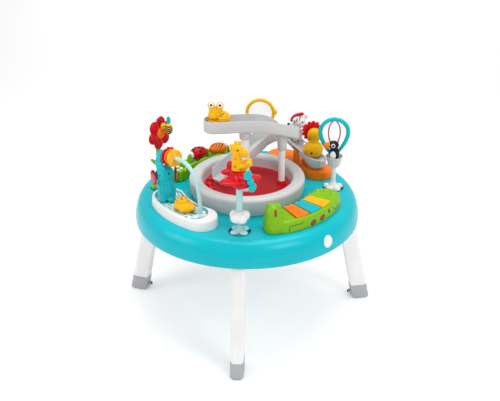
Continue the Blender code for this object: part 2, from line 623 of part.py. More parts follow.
# ---------------------------------------------------------------- elephant's tub
def build_tub():
    start, end = TUB_SPAN
    inner, outer = TUB_R[0] + TUB_WALL, TUB_R[1] - TUB_WALL
    tub = arc_block(TUB_R[0], TUB_R[1], start, end, DECK + GAP, 0.4620, round_end=0.052,
                    edge=0.004, steps=14, lean=0.003)
    hollow = arc_block(inner, outer, start + 2.9, end - 2.9, 0.4400, 0.4700,
                       round_end=0.041, edge=0.001, steps=14)
    node("tub", cut(tub, [hollow]), "white")
    deck = arc_block(inner + 0.0006, outer - 0.0006, start + 3.1, end - 3.1, 0.4403, WATER_Z,
                     round_end=0.0405, edge=0.001, steps=14)
    slot = arc_block(DUCK_R - 0.0038, DUCK_R + 0.0038, DUCK_AZIMUTH - 8.5, DUCK_AZIMUTH + 5.5,
                     0.4410, 0.4700, edge=0.0005, steps=8)
    x, y, _ = ARCH[0]
    foot_hole = rod((x, y, 0.4440), (x, y, 0.470), ARCH_R + 0.0012, segments=14)
    node("water_deck", cut(deck, [slot, foot_hole]), "turquoise")

    duck_at = polar(DUCK_R, DUCK_AZIMUTH, WATER_Z + 0.0120)
    turn = turn_z(DUCK_AZIMUTH)
    body = ball(duck_at, (0.0245, 0.0370, 0.0150), turn, 10, 7)
    hump = ball(duck_at + turn @ Vector((0.0, -0.013, 0.010)), (0.0215, 0.0260, 0.0150), turn, 10, 7)
    bill = ball(duck_at + turn @ Vector((0.004, 0.030, 0.008)), (0.0120, 0.0125, 0.0070), turn, 8, 5)
    tongue = block(duck_at + Vector((0, 0, -0.0135)), (0.0045, 0.0180, 0.0120), turn)
    floor = rod(duck_at + Vector((0, 0, -0.030)), duck_at + Vector((0, 0, -0.0116)), 0.06, segments=8)
    body = cut(combine(body, [hump, bill]), [floor])
    node("duck", combine(body, [tongue]), "yellow", pivot=duck_at)
    build_elephant()

    arch = tube(ARCH, ARCH_R, sides=10)
    foot = rod(Vector(ARCH[0]) + Vector((0, 0, -0.0085)), Vector(ARCH[0]) + Vector((0, 0, 0.003)),
               ARCH_R + 0.0006, segments=14)
    node("arch_stem", combine(arch, [foot]), "aqua")
    build_discs()


def build_elephant():
    at = ELEPHANT_AT
    turn = turn_z(6)
    body = loft([[Matrix.Translation((at.x + shift, at.y + back, height)) @ turn @ point
                  for point in rounded_loop(half_x, half_y, min(half_x, half_y) * 0.8, 2)]
                 for half_x, half_y, shift, back, height in (
                     (0.0225, 0.0200, 0.000, 0.000, WATER_Z + GAP), (0.0265, 0.0230, 0.000, 0.000, 0.470),
                     (0.0285, 0.0250, -0.001, 0.001, 0.492), (0.0265, 0.0235, -0.003, 0.002, 0.515),
                     (0.0200, 0.0180, -0.004, 0.003, 0.535))])
    head = ball(at + Vector((-0.006, 0.004, 0.5430)), (0.0290, 0.0265, 0.0285), turn, 11, 7)
    trunk = tube([at + Vector((-0.006, -0.016, 0.548)), at + Vector((-0.012, -0.019, 0.566)),
                  at + Vector((-0.0200, -0.006, 0.584)), at + Vector((-0.0200, 0.011, 0.600)),
                  at + Vector((-0.0120, 0.0250, 0.612))], 0.0145, tip=0.0080)
    legs_gap = rod(at + turn @ Vector((0.0, -0.03, 0.4590)), at + turn @ Vector((0.0, 0.03, 0.4590)),
                   0.0070, segments=12)
    elephant = cut(combine(body, [head, trunk]), [legs_gap])
    tip = Vector(ARCH[-1])
    socket_axis = (Vector(ARCH[-1]) - Vector(ARCH[-2])).normalized()
    grip = ball(tip + socket_axis * 0.009, (0.0110, 0.0110, 0.0110), None, 10, 7)
    elephant = combine(elephant, [grip])
    elephant = cut(elephant, [rod(tip - socket_axis * 0.02, tip + socket_axis * GAP, 0.0140)])
    node("elephant", elephant, "turquoise")

    side = turn @ Vector((1.0, 0.0, 0.0))
    facing = turn @ Vector((0.0, -1.0, 0.0))
    for name, sign in (("elephant_ear_left", -1), ("elephant_ear_right", 1)):
        ear_at = at + Vector((-0.006, 0.004, 0.5350)) + side * (0.0345 * sign) - facing * 0.004
        node(name, ball(ear_at, (0.0170, 0.0260, 0.0045), aim(side * sign + facing * 0.25), 10, 7), "red")


def build_discs():
    for name, slot, share, radius, half, lobes in DISCS:
        middle, along = arch_point(share)
        disc = rod(middle - along * half, middle + along * half, radius, segments=28)
        if lobes:
            turn = aim(along)
            bumps = []
            for i in range(lobes):
                angle = 2 * math.pi * i / lobes
                edge = middle + turn @ Vector((radius * math.cos(angle), radius * math.sin(angle), 0))
                bumps.append(rod(edge - along * half * 0.85, edge + along * half * 0.85,
                                 radius * 0.28, segments=6))
            disc = combine(disc, bumps)
        bore = rod(middle - along * 0.02, middle + along * 0.02, ARCH_R + 0.0009, segments=16)
        node(name, cut(disc, [bore]), slot, pivot=middle)


def arch_point(share):
    """Point and direction on the arch's straight stretch that carries the discs."""
    start = Vector(ARCH[-3])
    end = Vector(ARCH[-2])
    return start.lerp(end, share), (end - start).normalized()


# ---------------------------------------------------------------- crocodile keyboard
def build_croc():
    body = arc_block(*CROC_R, *CROC_SPAN, DECK + GAP, CROC_Z, round_end=0.040, edge=0.006,
                     steps=14, lean=0.004)
    head_at = polar(0.2720, -68.4, 0.0)
    head = loft([[Matrix.Translation((head_at.x, head_at.y, height)) @ turn_z(-68.4) @ point
                  for point in rounded_loop(half, half * 0.92, half * 0.8, 3)]
                 for half, height in ((0.034, DECK + 0.001), (0.0335, 0.470), (0.0285, 0.498))])
    dome = ball((head_at.x, head_at.y, 0.4960), (0.0283, 0.0270, 0.0230), turn_z(-68.4), 10, 7)
    tail = [ball(polar(radius, azimuth, 0.4640), (0.0135, 0.0135, 0.0115), None, 10, 7)
            for radius, azimuth in ((0.236, -14.5), (0.262, -13.5), (0.286, -16.0))]
    body = combine(body, [head, dome] + tail)
    wells = []
    for _, _, azimuth in KEYS:
        wells.append(arc_block(0.2215, 0.2985, azimuth - 4.85, azimuth + 4.85, KEY_LOW - 0.010,
                               0.4830, edge=0.0005, steps=4))
    under = arc_block(0.2300, 0.2950, -54, -22, 0.4200, 0.4375, edge=0.0005, steps=8)
    node("croc_body", cut(body, wells + [under]), "green")

    for name, slot, azimuth in KEYS:
        key = arc_block(0.2225, 0.2975, azimuth - 4.45, azimuth + 4.45, KEY_LOW,
                        KEY_LOW + 0.0155, edge=0.003, steps=4)
        ribs = []
        for radius in (0.243, 0.259, 0.275):
            centre = polar(radius, azimuth, KEY_LOW + 0.0152)
            ribs.append(block(centre, (0.0050, 0.0300, 0.0024), turn_z(azimuth)))
        pin = polar(KEY_HINGE_R, azimuth, KEY_LOW + 0.0035)
        node(name, combine(key, ribs), slot, pivot=pin)

    module = arc_block(0.2320, 0.2930, -53, -23, DECK + GAP, 0.4370, edge=0.0004, steps=8)
    node("sound_module", module, "black")


# ---------------------------------------------------------------- balloon and toucan
def build_balloon():
    x, y = BALLOON_AT
    base = lobed_base(BALLOON_AT, 5, 0.0325, DECK + GAP, DECK + 0.0110, turn=20)
    plug = rod((x, y, DECK - 0.012), (x, y, DECK + 0.002), 0.020, segments=20)
    flare = rod((x, y, DECK + 0.010), (x, y, DECK + 0.020), 0.0135, 0.0078)
    shaft = rod((x, y, DECK + 0.018), (x, y, 0.5090), 0.0075, segments=14)
    pin = rod((x, y, 0.5080), (x, y, 0.5240), 0.0035, segments=12)
    node("balloon_post", combine(base, [plug, flare, shaft, pin]), "white")

    cup = turned([(0.0, 0.5093), (0.0185, 0.5093), (0.0260, 0.5420), (0.0272, 0.5450),
                  (0.0248, 0.5450), (0.0234, 0.5420), (0.0165, 0.5280), (0.0, 0.5280)][::-1],
                 steps=28, centre=(x, y, 0.0))
    cup = cut(cup, [rod((x, y, 0.49), (x, y, 0.5243), 0.0038, segments=12)])
    node("basket", cup, "light_grey", pivot=(x, y, 0.5093))
    build_balloon_ring(Vector((x - 0.003, y + 0.004, 0.6240)))
    build_toucan(x - 0.004, y - 0.0100)


def build_balloon_ring(centre):
    """Pear-shaped ring on a foot, with a window in a groove."""
    outline = []
    for i in range(24):
        angle = 2 * math.pi * i / 24
        wide = 0.0440 * math.cos(angle)
        tall = 0.0440 * math.sin(angle)
        if tall < 0:
            wide *= 1 - 0.42 * (-math.sin(angle)) ** 1.6
            tall *= 1.72
        outline.append(centre + Vector((wide, 0.0, tall)))
    hub = centre - Vector((0.0, 0.0, 0.009))
    loops = []
    for point in outline:
        outward = (point - hub).normalized()
        loops.append([point + outward * (0.0068 * math.cos(a)) + Vector((0, 0.0062 * math.sin(a), 0))
                      for a in [2 * math.pi * k / 6 for k in range(6)]])
    ring = loft(loops, closed=True)
    foot = block((BALLOON_AT[0], centre.y, 0.5400), (0.0180, 0.0100, 0.0230), bevel=0.002)
    groove = window_plate(outline, hub, 0.0052, 0.0013)
    pivot = (*BALLOON_AT, 0.6200)
    node("balloon_ring", cut(combine(ring, [foot]), [groove]), "turquoise", pivot=pivot)
    node("balloon_lens", window_plate(outline, hub, 0.0055, 0.0010), "clear", pivot=pivot)


def window_plate(outline, hub, inset, half):
    """Upright plate filling an outline, set in towards its hub."""
    edge = [point - (point - hub).normalized() * inset for point in outline]
    return loft([[point + Vector((0, offset, 0)) for point in edge] for offset in (-half, half)])


def build_toucan(x, y):
    body = ball((x + 0.003, y, 0.5560), (0.0165, 0.0105, 0.0260), None, 10, 7)
    head = ball((x, y - 0.001, 0.5860), (0.0170, 0.0130, 0.0150), None, 10, 7)
    beak = ball((x - 0.0185, y - 0.003, 0.5850), (0.0150, 0.0085, 0.0105), None, 10, 7)
    shelf = y + 0.0140
    toucan = cut(combine(body, [head, beak]), [
        block((x, shelf, 0.60), (0.12, 0.0145, 0.2)), rod((x, y, 0.50), (x, y, 0.5283), 0.04)])
    node("toucan", toucan, "black", pivot=(x, y, 0.55))


# ---------------------------------------------------------------- see-saw
def build_seesaw():
    base = arc_block(0.218, 0.315, 21.5, 78.0, DECK + GAP, 0.4600, round_end=0.046, edge=0.007,
                     steps=14, lean=0.003)
    across = Vector((-SEAT_DIRECTION.y, SEAT_DIRECTION.x, 0.0))
    cheeks = []
    for sign in (-1, 1):
        foot = Vector((PIVOT.x, PIVOT.y, 0.455)) + across * (0.0205 * sign)
        top = Vector((PIVOT.x, PIVOT.y, PIVOT.z)) + across * (0.0205 * sign)
        cheeks.append(block((foot + top) / 2, (0.0260, 0.0075, top.z - foot.z),
                            aim((0, 0, 1), up=across)))
        cheeks.append(rod(top - across * 0.00375, top + across * 0.00375, 0.0130, segments=18))
    base = combine(base, cheeks)
    rest = ball((0.226, 0.128, 0.4600), (0.030, 0.030, 0.0080), None, 14, 6)
    bore = rod(PIVOT - across * 0.03, PIVOT + across * 0.03, 0.0033, segments=12)
    node("seesaw_base", cut(combine(base, [rest]), [bore]), "orange")
    node("seesaw_pin", rod(PIVOT - across * 0.0270, PIVOT + across * 0.0270, 0.0030, segments=12), "steel")

    frame = Matrix.Translation(PIVOT) @ seat_turn()
    sections = []
    for along, half_y, low, high in ((-0.088, 0.014, 0.012, 0.022), (-0.074, 0.024, 0.004, 0.026),
                                     (-0.030, 0.027, -0.002, 0.020), (0.020, 0.027, -0.006, 0.018),
                                     (0.066, 0.029, -0.015, 0.022), (0.088, 0.025, -0.012, 0.027),
                                     (0.103, 0.014, 0.000, 0.029)):
        sections.append([frame @ Vector((along, y_at, z_at)) for y_at, z_at in (
            (-half_y * 0.6, low), (half_y * 0.6, low), (half_y, (low + high) / 2), (half_y, high),
            (half_y * 0.75, high), (half_y * 0.7, high - 0.005), (-half_y * 0.7, high - 0.005),
            (-half_y * 0.75, high), (-half_y, high), (-half_y, (low + high) / 2))])
    seat = loft(sections)
    lug = rod(frame @ Vector((0, -0.0160, 0)), frame @ Vector((0, 0.0160, 0)), 0.0105, segments=18)
    seat = cut(combine(seat, [lug]), [rod(PIVOT - across * 0.03, PIVOT + across * 0.03, 0.0033,
                                          segments=12)])
    notch = [block(frame @ Vector((0.0, 0.0245 * sign, 0.0)), (0.0320, 0.0160, 0.0330),
                   seat_turn()) for sign in (-1, 1)]
    node("seesaw_seat", cut(seat, notch), "light_grey", pivot=PIVOT)

    lion_at = frame @ Vector((0.055, 0.0, 0.0185))
    body = ball(lion_at + Vector((0, 0, 0.0200)), (0.0330, 0.0290, 0.0290), None, 10, 7)
    head = ball(lion_at + Vector((0.000, 0.006, 0.0660)), (0.0225, 0.0195, 0.0240), None, 10, 7)
    neck = rod(lion_at + Vector((0, 0, 0.040)), lion_at + Vector((0.001, 0.003, 0.060)), 0.0150, 0.0140)
    trim = seat_trim(frame)
    node("lion", cut(combine(body, [neck, head]), [trim]), "yellow")
    mane_at = lion_at + Vector((-0.006, 0.033, 0.0700))
    facing = Vector((0.25, -0.95, 0.10)).normalized()
    turn = aim(facing)
    mane = rod(mane_at - facing * 0.0045, mane_at + facing * 0.0045, 0.0290, segments=24)
    tufts = [rod(mane_at + turn @ Vector((0.029 * math.cos(a), 0.029 * math.sin(a), -0.0042)),
                 mane_at + turn @ Vector((0.029 * math.cos(a), 0.029 * math.sin(a), 0.0042)),
                 0.0062, segments=6) for a in [2 * math.pi * i / 13 for i in range(13)]]
    node("lion_mane", combine(mane, tufts), "red")

    zebra_at = frame @ Vector((-0.030, 0.0, 0.0170))
    body = ball(zebra_at + Vector((0, 0, 0.0240)), (0.0230, 0.0200, 0.0270), None, 10, 7)
    neck = rod(zebra_at + Vector((0, 0, 0.030)), zebra_at + Vector((0.002, 0, 0.064)), 0.0140, 0.0115)
    head = ball(zebra_at + Vector((0.007, -0.002, 0.0740)), (0.0275, 0.0180, 0.0190),
                Matrix.Rotation(math.radians(24), 4, "Y"), 14, 8)
    crest = [ball(zebra_at + Vector((-0.018 + 0.0072 * i, 0.0, 0.0815 + 0.0032 * i)),
                  (0.0055, 0.0045, 0.0060), None, 8, 5) for i in range(4)]
    ears = [ball(zebra_at + Vector((-0.002, dy, 0.0890)), (0.0040, 0.0030, 0.0080), None, 8, 5)
            for dy in (-0.008, 0.008)]
    node("zebra", cut(combine(body, [neck, head] + crest + ears), [seat_trim(frame)]), "white")


def seat_turn():
    """Rotation of the seat: x along it towards the low end, tilted about its axle."""
    heading = math.atan2(SEAT_DIRECTION.y, SEAT_DIRECTION.x)
    return Matrix.Rotation(heading, 4, "Z") @ Matrix.Rotation(math.radians(SEAT_TILT), 4, "Y")


def seat_trim(frame):
    """Block filling the seat and what is below it, used to seat the riders."""
    points = []
    for along in (-0.11, 0.11):
        high = 0.0225 + GAP
        points.append([frame @ Vector((along, y_at, z_at)) for y_at, z_at in (
            (-0.06, -0.06), (0.06, -0.06), (0.06, high), (-0.06, high))])
    return loft(points)


# ---------------------------------------------------------------- mirror, flower and bug pod
def build_mirror():
    x, y = MIRROR_AT
    centre = Vector((x, y, 0.5850))
    upright = aim((0.0, -1.0, 0.0))
    ring = torus(centre, 0.0460, 0.0060, upright, segments=24, sides=6)
    knob = ball(centre + Vector((0.0520, 0.0, 0.003)), (0.0065, 0.0055, 0.0100), None, 8, 5)
    handle = rod((x, y, 0.5000), (x, y, 0.5380), 0.0045, 0.0110, 14)
    post = rod((x, y, 0.4200), (x, y, 0.5050), 0.0040, segments=12)
    ring = combine(ring, [knob, handle, post])
    groove = turned([(0.0, 0.0013), (0.0422, 0.0013), (0.0422, -0.0013), (0.0, -0.0013)],
                    steps=32, centre=centre, turn=upright)
    node("mirror_ring", cut(ring, [groove]), "yellow", pivot=(x, y, 0.585))
    lens = turned([(0.0, 0.0010), (0.0419, 0.0010), (0.0419, -0.0010), (0.0, -0.0010)],
                  steps=32, centre=centre, turn=upright)
    node("mirror_lens", lens, "clear", pivot=centre)


def build_flower():
    x, y = FLOWER_AT
    base = lobed_base(FLOWER_AT, 4, 0.0325, DECK + GAP, DECK + 0.0100, turn=10)
    plug = rod((x, y, DECK - 0.012), (x, y, DECK + 0.002), 0.020, segments=20)
    back = FLOWER_CENTRE - FLOWER_FACING * 0.0120
    stem = tube([(x, y, DECK + 0.004), (x - 0.001, y + 0.002, 0.500), (x - 0.004, y + 0.004, 0.560),
                 (back.x - 0.004, back.y + 0.006, 0.600), back], 0.0085, sides=10, tip=0.0080)
    leaf = ball((x - 0.012, y - 0.004, 0.520), (0.0210, 0.0120, 0.0050),
                Matrix.Rotation(math.radians(35), 4, "Y"), 10, 7)
    node("flower_stem", combine(base, [plug, stem, leaf]), "green")
    turn = Matrix.Translation(FLOWER_CENTRE) @ aim(FLOWER_FACING)
    petals = [rod(turn @ Vector((0, 0, -0.0060)), turn @ Vector((0, 0, 0.0060)), 0.0250, segments=20)]
    for i in range(6):
        angle = math.radians(60 * i + 15)
        centre = turn @ Vector((0.0330 * math.cos(angle), 0.0330 * math.sin(angle), 0.0))
        petals.append(ball(centre, (0.0205, 0.0205, 0.0085), aim(FLOWER_FACING), 10, 5))
    hub = ball(turn @ Vector((0, 0, 0.0050)), (0.0190, 0.0190, 0.0100), aim(FLOWER_FACING), 10, 7)
    flower = combine(petals[0], petals[1:] + [hub])
    bore = rod(turn @ Vector((0, 0, -0.03)), turn @ Vector((0, 0, -0.0020)), 0.0105)
    flower = cut(flower, [bore])
    node("flower_head", flower, "red", pivot=FLOWER_CENTRE)
    bee_at = turn @ Vector((0.0060, 0.0175, 0.0235))
    body = ball(bee_at + Vector((0.009, -0.004, -0.001)), (0.0125, 0.0115, 0.0185), None, 10, 7)
    head = ball(bee_at + Vector((-0.008, -0.002, 0.008)), (0.0105, 0.0095, 0.0105), None, 10, 7)
    wing = ball(bee_at + Vector((0.009, -0.002, 0.0270)), (0.0068, 0.0030, 0.0145), None, 8, 5)
    bee = combine(body, [head, wing])
    shave = turn @ Vector((0.0, 0.0, 0.0153))
    bee = cut(bee, [rod(shave - FLOWER_FACING * 0.05, shave, 0.08, segments=12)])
    node("bee", bee, "yellow", pivot=bee_at)


def build_pod():
    pod = arc_block(0.213, 0.290, 100.0, 160.0, DECK + GAP, 0.4570, round_end=0.034, edge=0.005,
                    steps=12, lean=0.003)
    bucket = rod((*BUCKET_AT, DECK + GAP), (*BUCKET_AT, 0.4720), 0.0310, 0.0350, 24)
    leaves = []
    for azimuth, radius in ((150, 0.222), (127, 0.222), (112, 0.222), (150, 0.284), (127, 0.284)):
        leaves.append(ball(polar(radius, azimuth, 0.4600), (0.0080, 0.0280, 0.0090),
                           turn_z(azimuth), 10, 7))
    pod = combine(pod, [bucket] + leaves)
    cradles = [rod((*BUCKET_AT, 0.4600), (*BUCKET_AT, 0.4900), 0.0290, segments=24)]
    for _, _, radius, azimuth, height, _ in BUGS:
        at = polar(radius, azimuth, height)
        cradles.append(ball(at, (0.0268, 0.0365, 0.0268), turn_z(azimuth), 10, 7))
    pod = cut(pod, cradles)
    arms = []
    bores = []
    for _, _, radius, azimuth, height, _ in BUGS:
        at = polar(radius, azimuth, height)
        along = turn_z(azimuth) @ Vector((0.0, 1.0, 0.0))
        bores.append(rod(at - along * 0.05, at + along * 0.05, 0.0028, segments=10))
        for sign in (-1, 1):
            end = at + along * (0.0385 * sign)
            arms.append(block(Vector((end.x, end.y, (0.450 + at.z) / 2)),
                              (0.0120, 0.0040, at.z - 0.450 + 0.010), turn_z(azimuth)))
    node("bug_pod", cut(combine(pod, arms), bores), "green")
    for name, slot, radius, azimuth, height, size in BUGS:
        at = polar(radius, azimuth, height)
        along = turn_z(azimuth) @ Vector((0.0, 1.0, 0.0))
        body = ball(at, (size, 0.0335, size), turn_z(azimuth), 10, 7)
        pin = rod(at - along * 0.0392, at + along * 0.0392, 0.0024, segments=10)
        node(name, combine(body, [pin]), slot, pivot=at)


build_tray()
build_legs()
build_turntable()
build_snail()
build_plane()
build_tub()
build_croc()
build_balloon()
build_seesaw()
build_mirror()
build_flower()
build_pod()
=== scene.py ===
"""Looks of the activity table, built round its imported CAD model.

Lengths are in metres. Positions are written about the tray's axis, as the table is built,
and add() moves each piece into the CAD model's frame, where that axis stands at TRAY_Y.
"""

import math

import bmesh
import bpy
from mathutils import Matrix, Vector
from mathutils.bvhtree import BVHTree


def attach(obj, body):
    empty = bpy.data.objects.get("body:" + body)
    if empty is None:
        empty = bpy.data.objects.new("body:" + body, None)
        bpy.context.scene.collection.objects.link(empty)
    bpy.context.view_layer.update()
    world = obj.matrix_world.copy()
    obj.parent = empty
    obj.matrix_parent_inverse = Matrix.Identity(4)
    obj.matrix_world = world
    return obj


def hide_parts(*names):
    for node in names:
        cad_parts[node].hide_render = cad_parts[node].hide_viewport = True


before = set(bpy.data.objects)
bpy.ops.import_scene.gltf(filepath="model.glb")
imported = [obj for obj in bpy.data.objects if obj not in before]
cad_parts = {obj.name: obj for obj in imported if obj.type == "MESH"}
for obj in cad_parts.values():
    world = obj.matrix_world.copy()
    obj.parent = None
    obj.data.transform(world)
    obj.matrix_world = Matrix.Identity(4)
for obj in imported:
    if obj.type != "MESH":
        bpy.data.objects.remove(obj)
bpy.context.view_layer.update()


def vec(x, y, z):
    """Vector from its three coordinates."""
    return Vector((x, y, z))


RIM_SOFT = 0.0008                # how far a rod's rims are rounded
SHARP_ANGLE = math.radians(40)   # edges bent more than this are drawn sharp
PATCH_THICK = 0.0006             # how far a painted mark stands out
PATCH_SINK = 0.0004              # how deep it is sunk into its piece
THROW_FROM = 0.06                # how far in front of a piece a mark's points start
THROW_REACH = 0.3                # how far they may travel
UP = vec(0.0, 0.0, 1.0)
BACK = (0, 1, 0)                 # away from someone who faces the front leg
DOWN = (0, 0, -1)

TRAY_Y = 0.033                   # tray's axis in the CAD model's frame
DECK = 0.432                     # height of the tray's flat top
ON_DECK = DECK + 0.0003          # underside of what stands on the tray
BADGE_AZIMUTH = -42.6            # plain oval on the tray's skirt
SOCKET_HOLE_R = 0.034            # holes in the tray for the three stalks
LEG_AZIMUTHS = {"front": -90.0, "right": 12.4, "left": 167.6}
FOOT_R = 0.426                   # outer radius of the feet on the floor
LEG_TOP_R = 0.3515               # outer radius of a leg at the skirt's lower edge
SKIRT_LOW = 0.354                # height of the skirt's lower edge
CAP_WALL = 0.0022                # wall of the foot caps
LEG_DEPTH = 0.056                # leg size along the radius

TRACK_Z = 0.6655                 # underside of the track's level part
TRACK_HALF = 0.031               # half its width
TRACK_HEIGHT = 0.04              # height of its walls
TRACK_WALL = 0.0026              # thickness of its walls
TRACK_FLOOR = 0.0038             # thickness of its floor
TRACK_SPLIT = 7                  # point where the upper track ends and the lower one starts
TRACK_STEPS = 9                  # path points from one given point to the next
TRACK_POINTS = [Vector(p) for p in (
    (-0.096, -0.069, TRACK_Z), (-0.05, -0.059, TRACK_Z), (0.0, -0.05, TRACK_Z),
    (0.05, -0.04, 0.662), (0.092, -0.022, 0.647), (0.122, 0.01, 0.622),
    (0.132, 0.048, 0.597), (0.118, 0.088, 0.58), (0.086, 0.112, 0.566),
    (0.048, 0.112, 0.552), (0.016, 0.088, 0.536), (-0.018, 0.05, 0.515),
    (-0.054, 0.011, 0.493), (-0.089, -0.027, 0.4735))]
POST_LEFT = vec(-0.002, -0.05, 0.0)
POST_RIGHT = vec(0.11, 0.012, 0.0)
BRACKET_TURN = 35                # heading of the track's bracket on the right post
BRACKET_LOW = 0.575              # its lower end

STEM_AT = vec(-0.001, -0.27, 0.0)
BALLOON_AT = vec(0.276, 0.046, 0.0)
FLOWER_AT = vec(-0.281, 0.006, 0.0)
MIRROR_AT = vec(0.022, 0.3, 0.585)
PLANE_NOSE = vec(0.034, -0.296, 0.6075)
PLANE_TAIL = vec(-0.038, -0.214, 0.606)
PLANE_AXIS = (PLANE_NOSE - PLANE_TAIL).normalized()
# middle of the plane's top, where its rider sits
COCKPIT = vec(-0.006, -0.25, 0.625)

TUB_R = (0.207, 0.313)           # inner and outer radius of the elephant's tub
TUB_WALL = 0.01
WATER_Z = 0.457                  # top of the tub's water deck
ELEPHANT_AT = vec(-0.2375, -0.13, 0.0)
DUCK_AZIMUTH = -131.7            # where the duck rests
DUCK_R = 0.2598                  # radius of the circle that it swims on
SLOT_HALF = 0.0038               # half the width of the duck's slot
WAVE_STEP = 1.6                  # degrees from one point of a wave line to the next
ARCH = [Vector(p) for p in (
    (-0.122, -0.228, 0.453), (-0.1235, -0.2265, 0.5), (-0.13, -0.22, 0.55),
    (-0.146, -0.204, 0.588), (-0.17, -0.18, 0.606), (-0.2, -0.15, 0.606),
    (-0.232, -0.118, 0.6), (-0.2445, -0.1055, 0.598))]
ARCH_R = 0.0062                  # radius of the arch's bar

KEYS = (("key_orange", -51.5), ("key_turquoise", -41.5), ("key_yellow", -31.5))
KEY_LOW = 0.459                  # underside of the keys
CROC_SIDE_R = 0.311              # outer radius of the crocodile's body

PIVOT = vec(0.167, 0.173, 0.506)   # see-saw's hinge
SEAT_TILT = 17.0                 # how far the boat is tipped at rest
SEAT_HEADING = math.degrees(math.atan2(-0.69, 0.72))
SEAT_FLOOR = vec(0.0, 0.0, 0.0228)   # where the see-saw's riders are cut flat
FLOWER_CENTRE = vec(-0.277, 0.004, 0.624)
FLOWER_FACING = vec(0.87, -0.5, 0.05).normalized()
BUCKET_AT = vec(-0.24, 0.082, 0.0)

RIDES = {}                       # body that each added piece rides, by the piece's name


# ---------------------------------------------------------------- materials
TONE_SCALE = 9.0                 # noise scales: drift of the colour, dull patches, orange peel
DULL_SCALE = 45.0
PEEL_SCALE = 260.0
PEEL_DEPTH = 0.0002
EDGE_BAND = (0.53, 0.62)         # sharpness at which an edge starts and ends being scuffed
COAT_ROUGH = 0.12
REFRACTION = 1.49
SPECULAR = 0.2


def linear(red, green, blue):
    """Linear colour from screen values out of 255."""
    return tuple((v / 255 / 12.92) if v < 10.3 else ((v / 255 + 0.055) / 1.055) ** 2.4
                 for v in (red, green, blue))


def scaled(rgb, factor):
    """Colour made lighter or darker."""
    return tuple(min(v * factor, 1.0) for v in rgb)


def plastic(name, rgb, rough=0.26, coat=0.08, peel=0.02, clear=0.0, wear=0.35, metal=0.0):
    """Moulded plastic with tone drift, fine orange peel, scuffed edges and dull patches.

    peel is the bump's strength, clear the share of light let through, and wear how far
    an edge's colour is scuffed.
    """
    made = bpy.data.materials.new(name)
    made.use_nodes = True
    nodes = made.node_tree.nodes
    links = made.node_tree.links
    shader = nodes["Principled BSDF"]
    place = nodes.new("ShaderNodeTexCoord")

    def noise(scale, detail):
        made_noise = nodes.new("ShaderNodeTexNoise")
        made_noise.inputs["Scale"].default_value = scale
        made_noise.inputs["Detail"].default_value = detail
        links.new(place.outputs["Object"], made_noise.inputs["Vector"])
        return made_noise.outputs["Fac"]

    def ramp(source, low, high, low_colour, high_colour):
        made_ramp = nodes.new("ShaderNodeValToRGB")
        made_ramp.color_ramp.elements[0].position = low
        made_ramp.color_ramp.elements[1].position = high
        made_ramp.color_ramp.elements[0].color = (*low_colour, 1.0)
        made_ramp.color_ramp.elements[1].color = (*high_colour, 1.0)
        links.new(source, made_ramp.inputs["Fac"])
        return made_ramp.outputs["Color"]

    def mix(factor, first, second):
        made_mix = nodes.new("ShaderNodeMix")
        made_mix.data_type = "RGBA"
        links.new(factor, made_mix.inputs["Factor"])
        links.new(first, made_mix.inputs["A"])
        made_mix.inputs["B"].default_value = (*second, 1.0)
        return made_mix.outputs["Result"]

    drift = ramp(noise(TONE_SCALE, 3.0), 0.35, 0.7, scaled(rgb, 0.96), scaled(rgb, 1.03))
    geometry = nodes.new("ShaderNodeNewGeometry")
    edge = ramp(geometry.outputs["Pointiness"], *EDGE_BAND, (0, 0, 0), (wear, wear, wear))
    worn = mix(edge, drift, [v * 0.8 + 0.2 for v in rgb])
    links.new(worn, shader.inputs["Base Color"])
    dull = ramp(noise(DULL_SCALE, 4.0), 0.4, 0.75, (rough, rough, rough), (rough + 0.05,) * 3)
    links.new(dull, shader.inputs["Roughness"])
    bump = nodes.new("ShaderNodeBump")
    bump.inputs["Strength"].default_value = peel
    bump.inputs["Distance"].default_value = PEEL_DEPTH
    links.new(noise(PEEL_SCALE, 2.0), bump.inputs["Height"])
    links.new(bump.outputs["Normal"], shader.inputs["Normal"])
    shader.inputs["Coat Weight"].default_value = coat
    shader.inputs["Coat Roughness"].default_value = COAT_ROUGH
    shader.inputs["Transmission Weight"].default_value = clear
    shader.inputs["Metallic"].default_value = metal
    shader.inputs["IOR"].default_value = REFRACTION
    shader.inputs["Specular IOR Level"].default_value = SPECULAR
    return made


TURQUOISE = plastic("turquoise_plastic", linear(0, 183, 195), wear=0.05)
# darker copy of the turquoise, used only to paint the shade in the elephant's creases and trunk rings
CREASE_SHADE_TURQUOISE = plastic("painted_crease_shade_turquoise", linear(0, 140, 158))
WHITE = plastic("white_plastic", linear(235, 235, 234), rough=0.36)
GREY = plastic("light_grey_plastic", linear(200, 201, 202), rough=0.38, coat=0.1)
FOOT_GREY = plastic("foot_grey_plastic", linear(172, 173, 176), rough=0.5, coat=0.0, peel=0.3)
RUBBER = plastic("dark_rubber", linear(58, 58, 62), rough=0.7, coat=0.0, peel=0.4)
RED = plastic("red_plastic", linear(208, 0, 22), rough=0.22)
MATTE_RED = plastic("matte_red_plastic", linear(184, 18, 34), rough=0.45, coat=0.05, peel=0.25)
YELLOW = plastic("yellow_plastic", linear(244, 182, 0))
HONEY = plastic("honey_plastic", linear(186, 120, 0), rough=0.4)
ORANGE = plastic("orange_plastic", linear(250, 124, 4))
GREEN = plastic("green_plastic", linear(126, 182, 10))
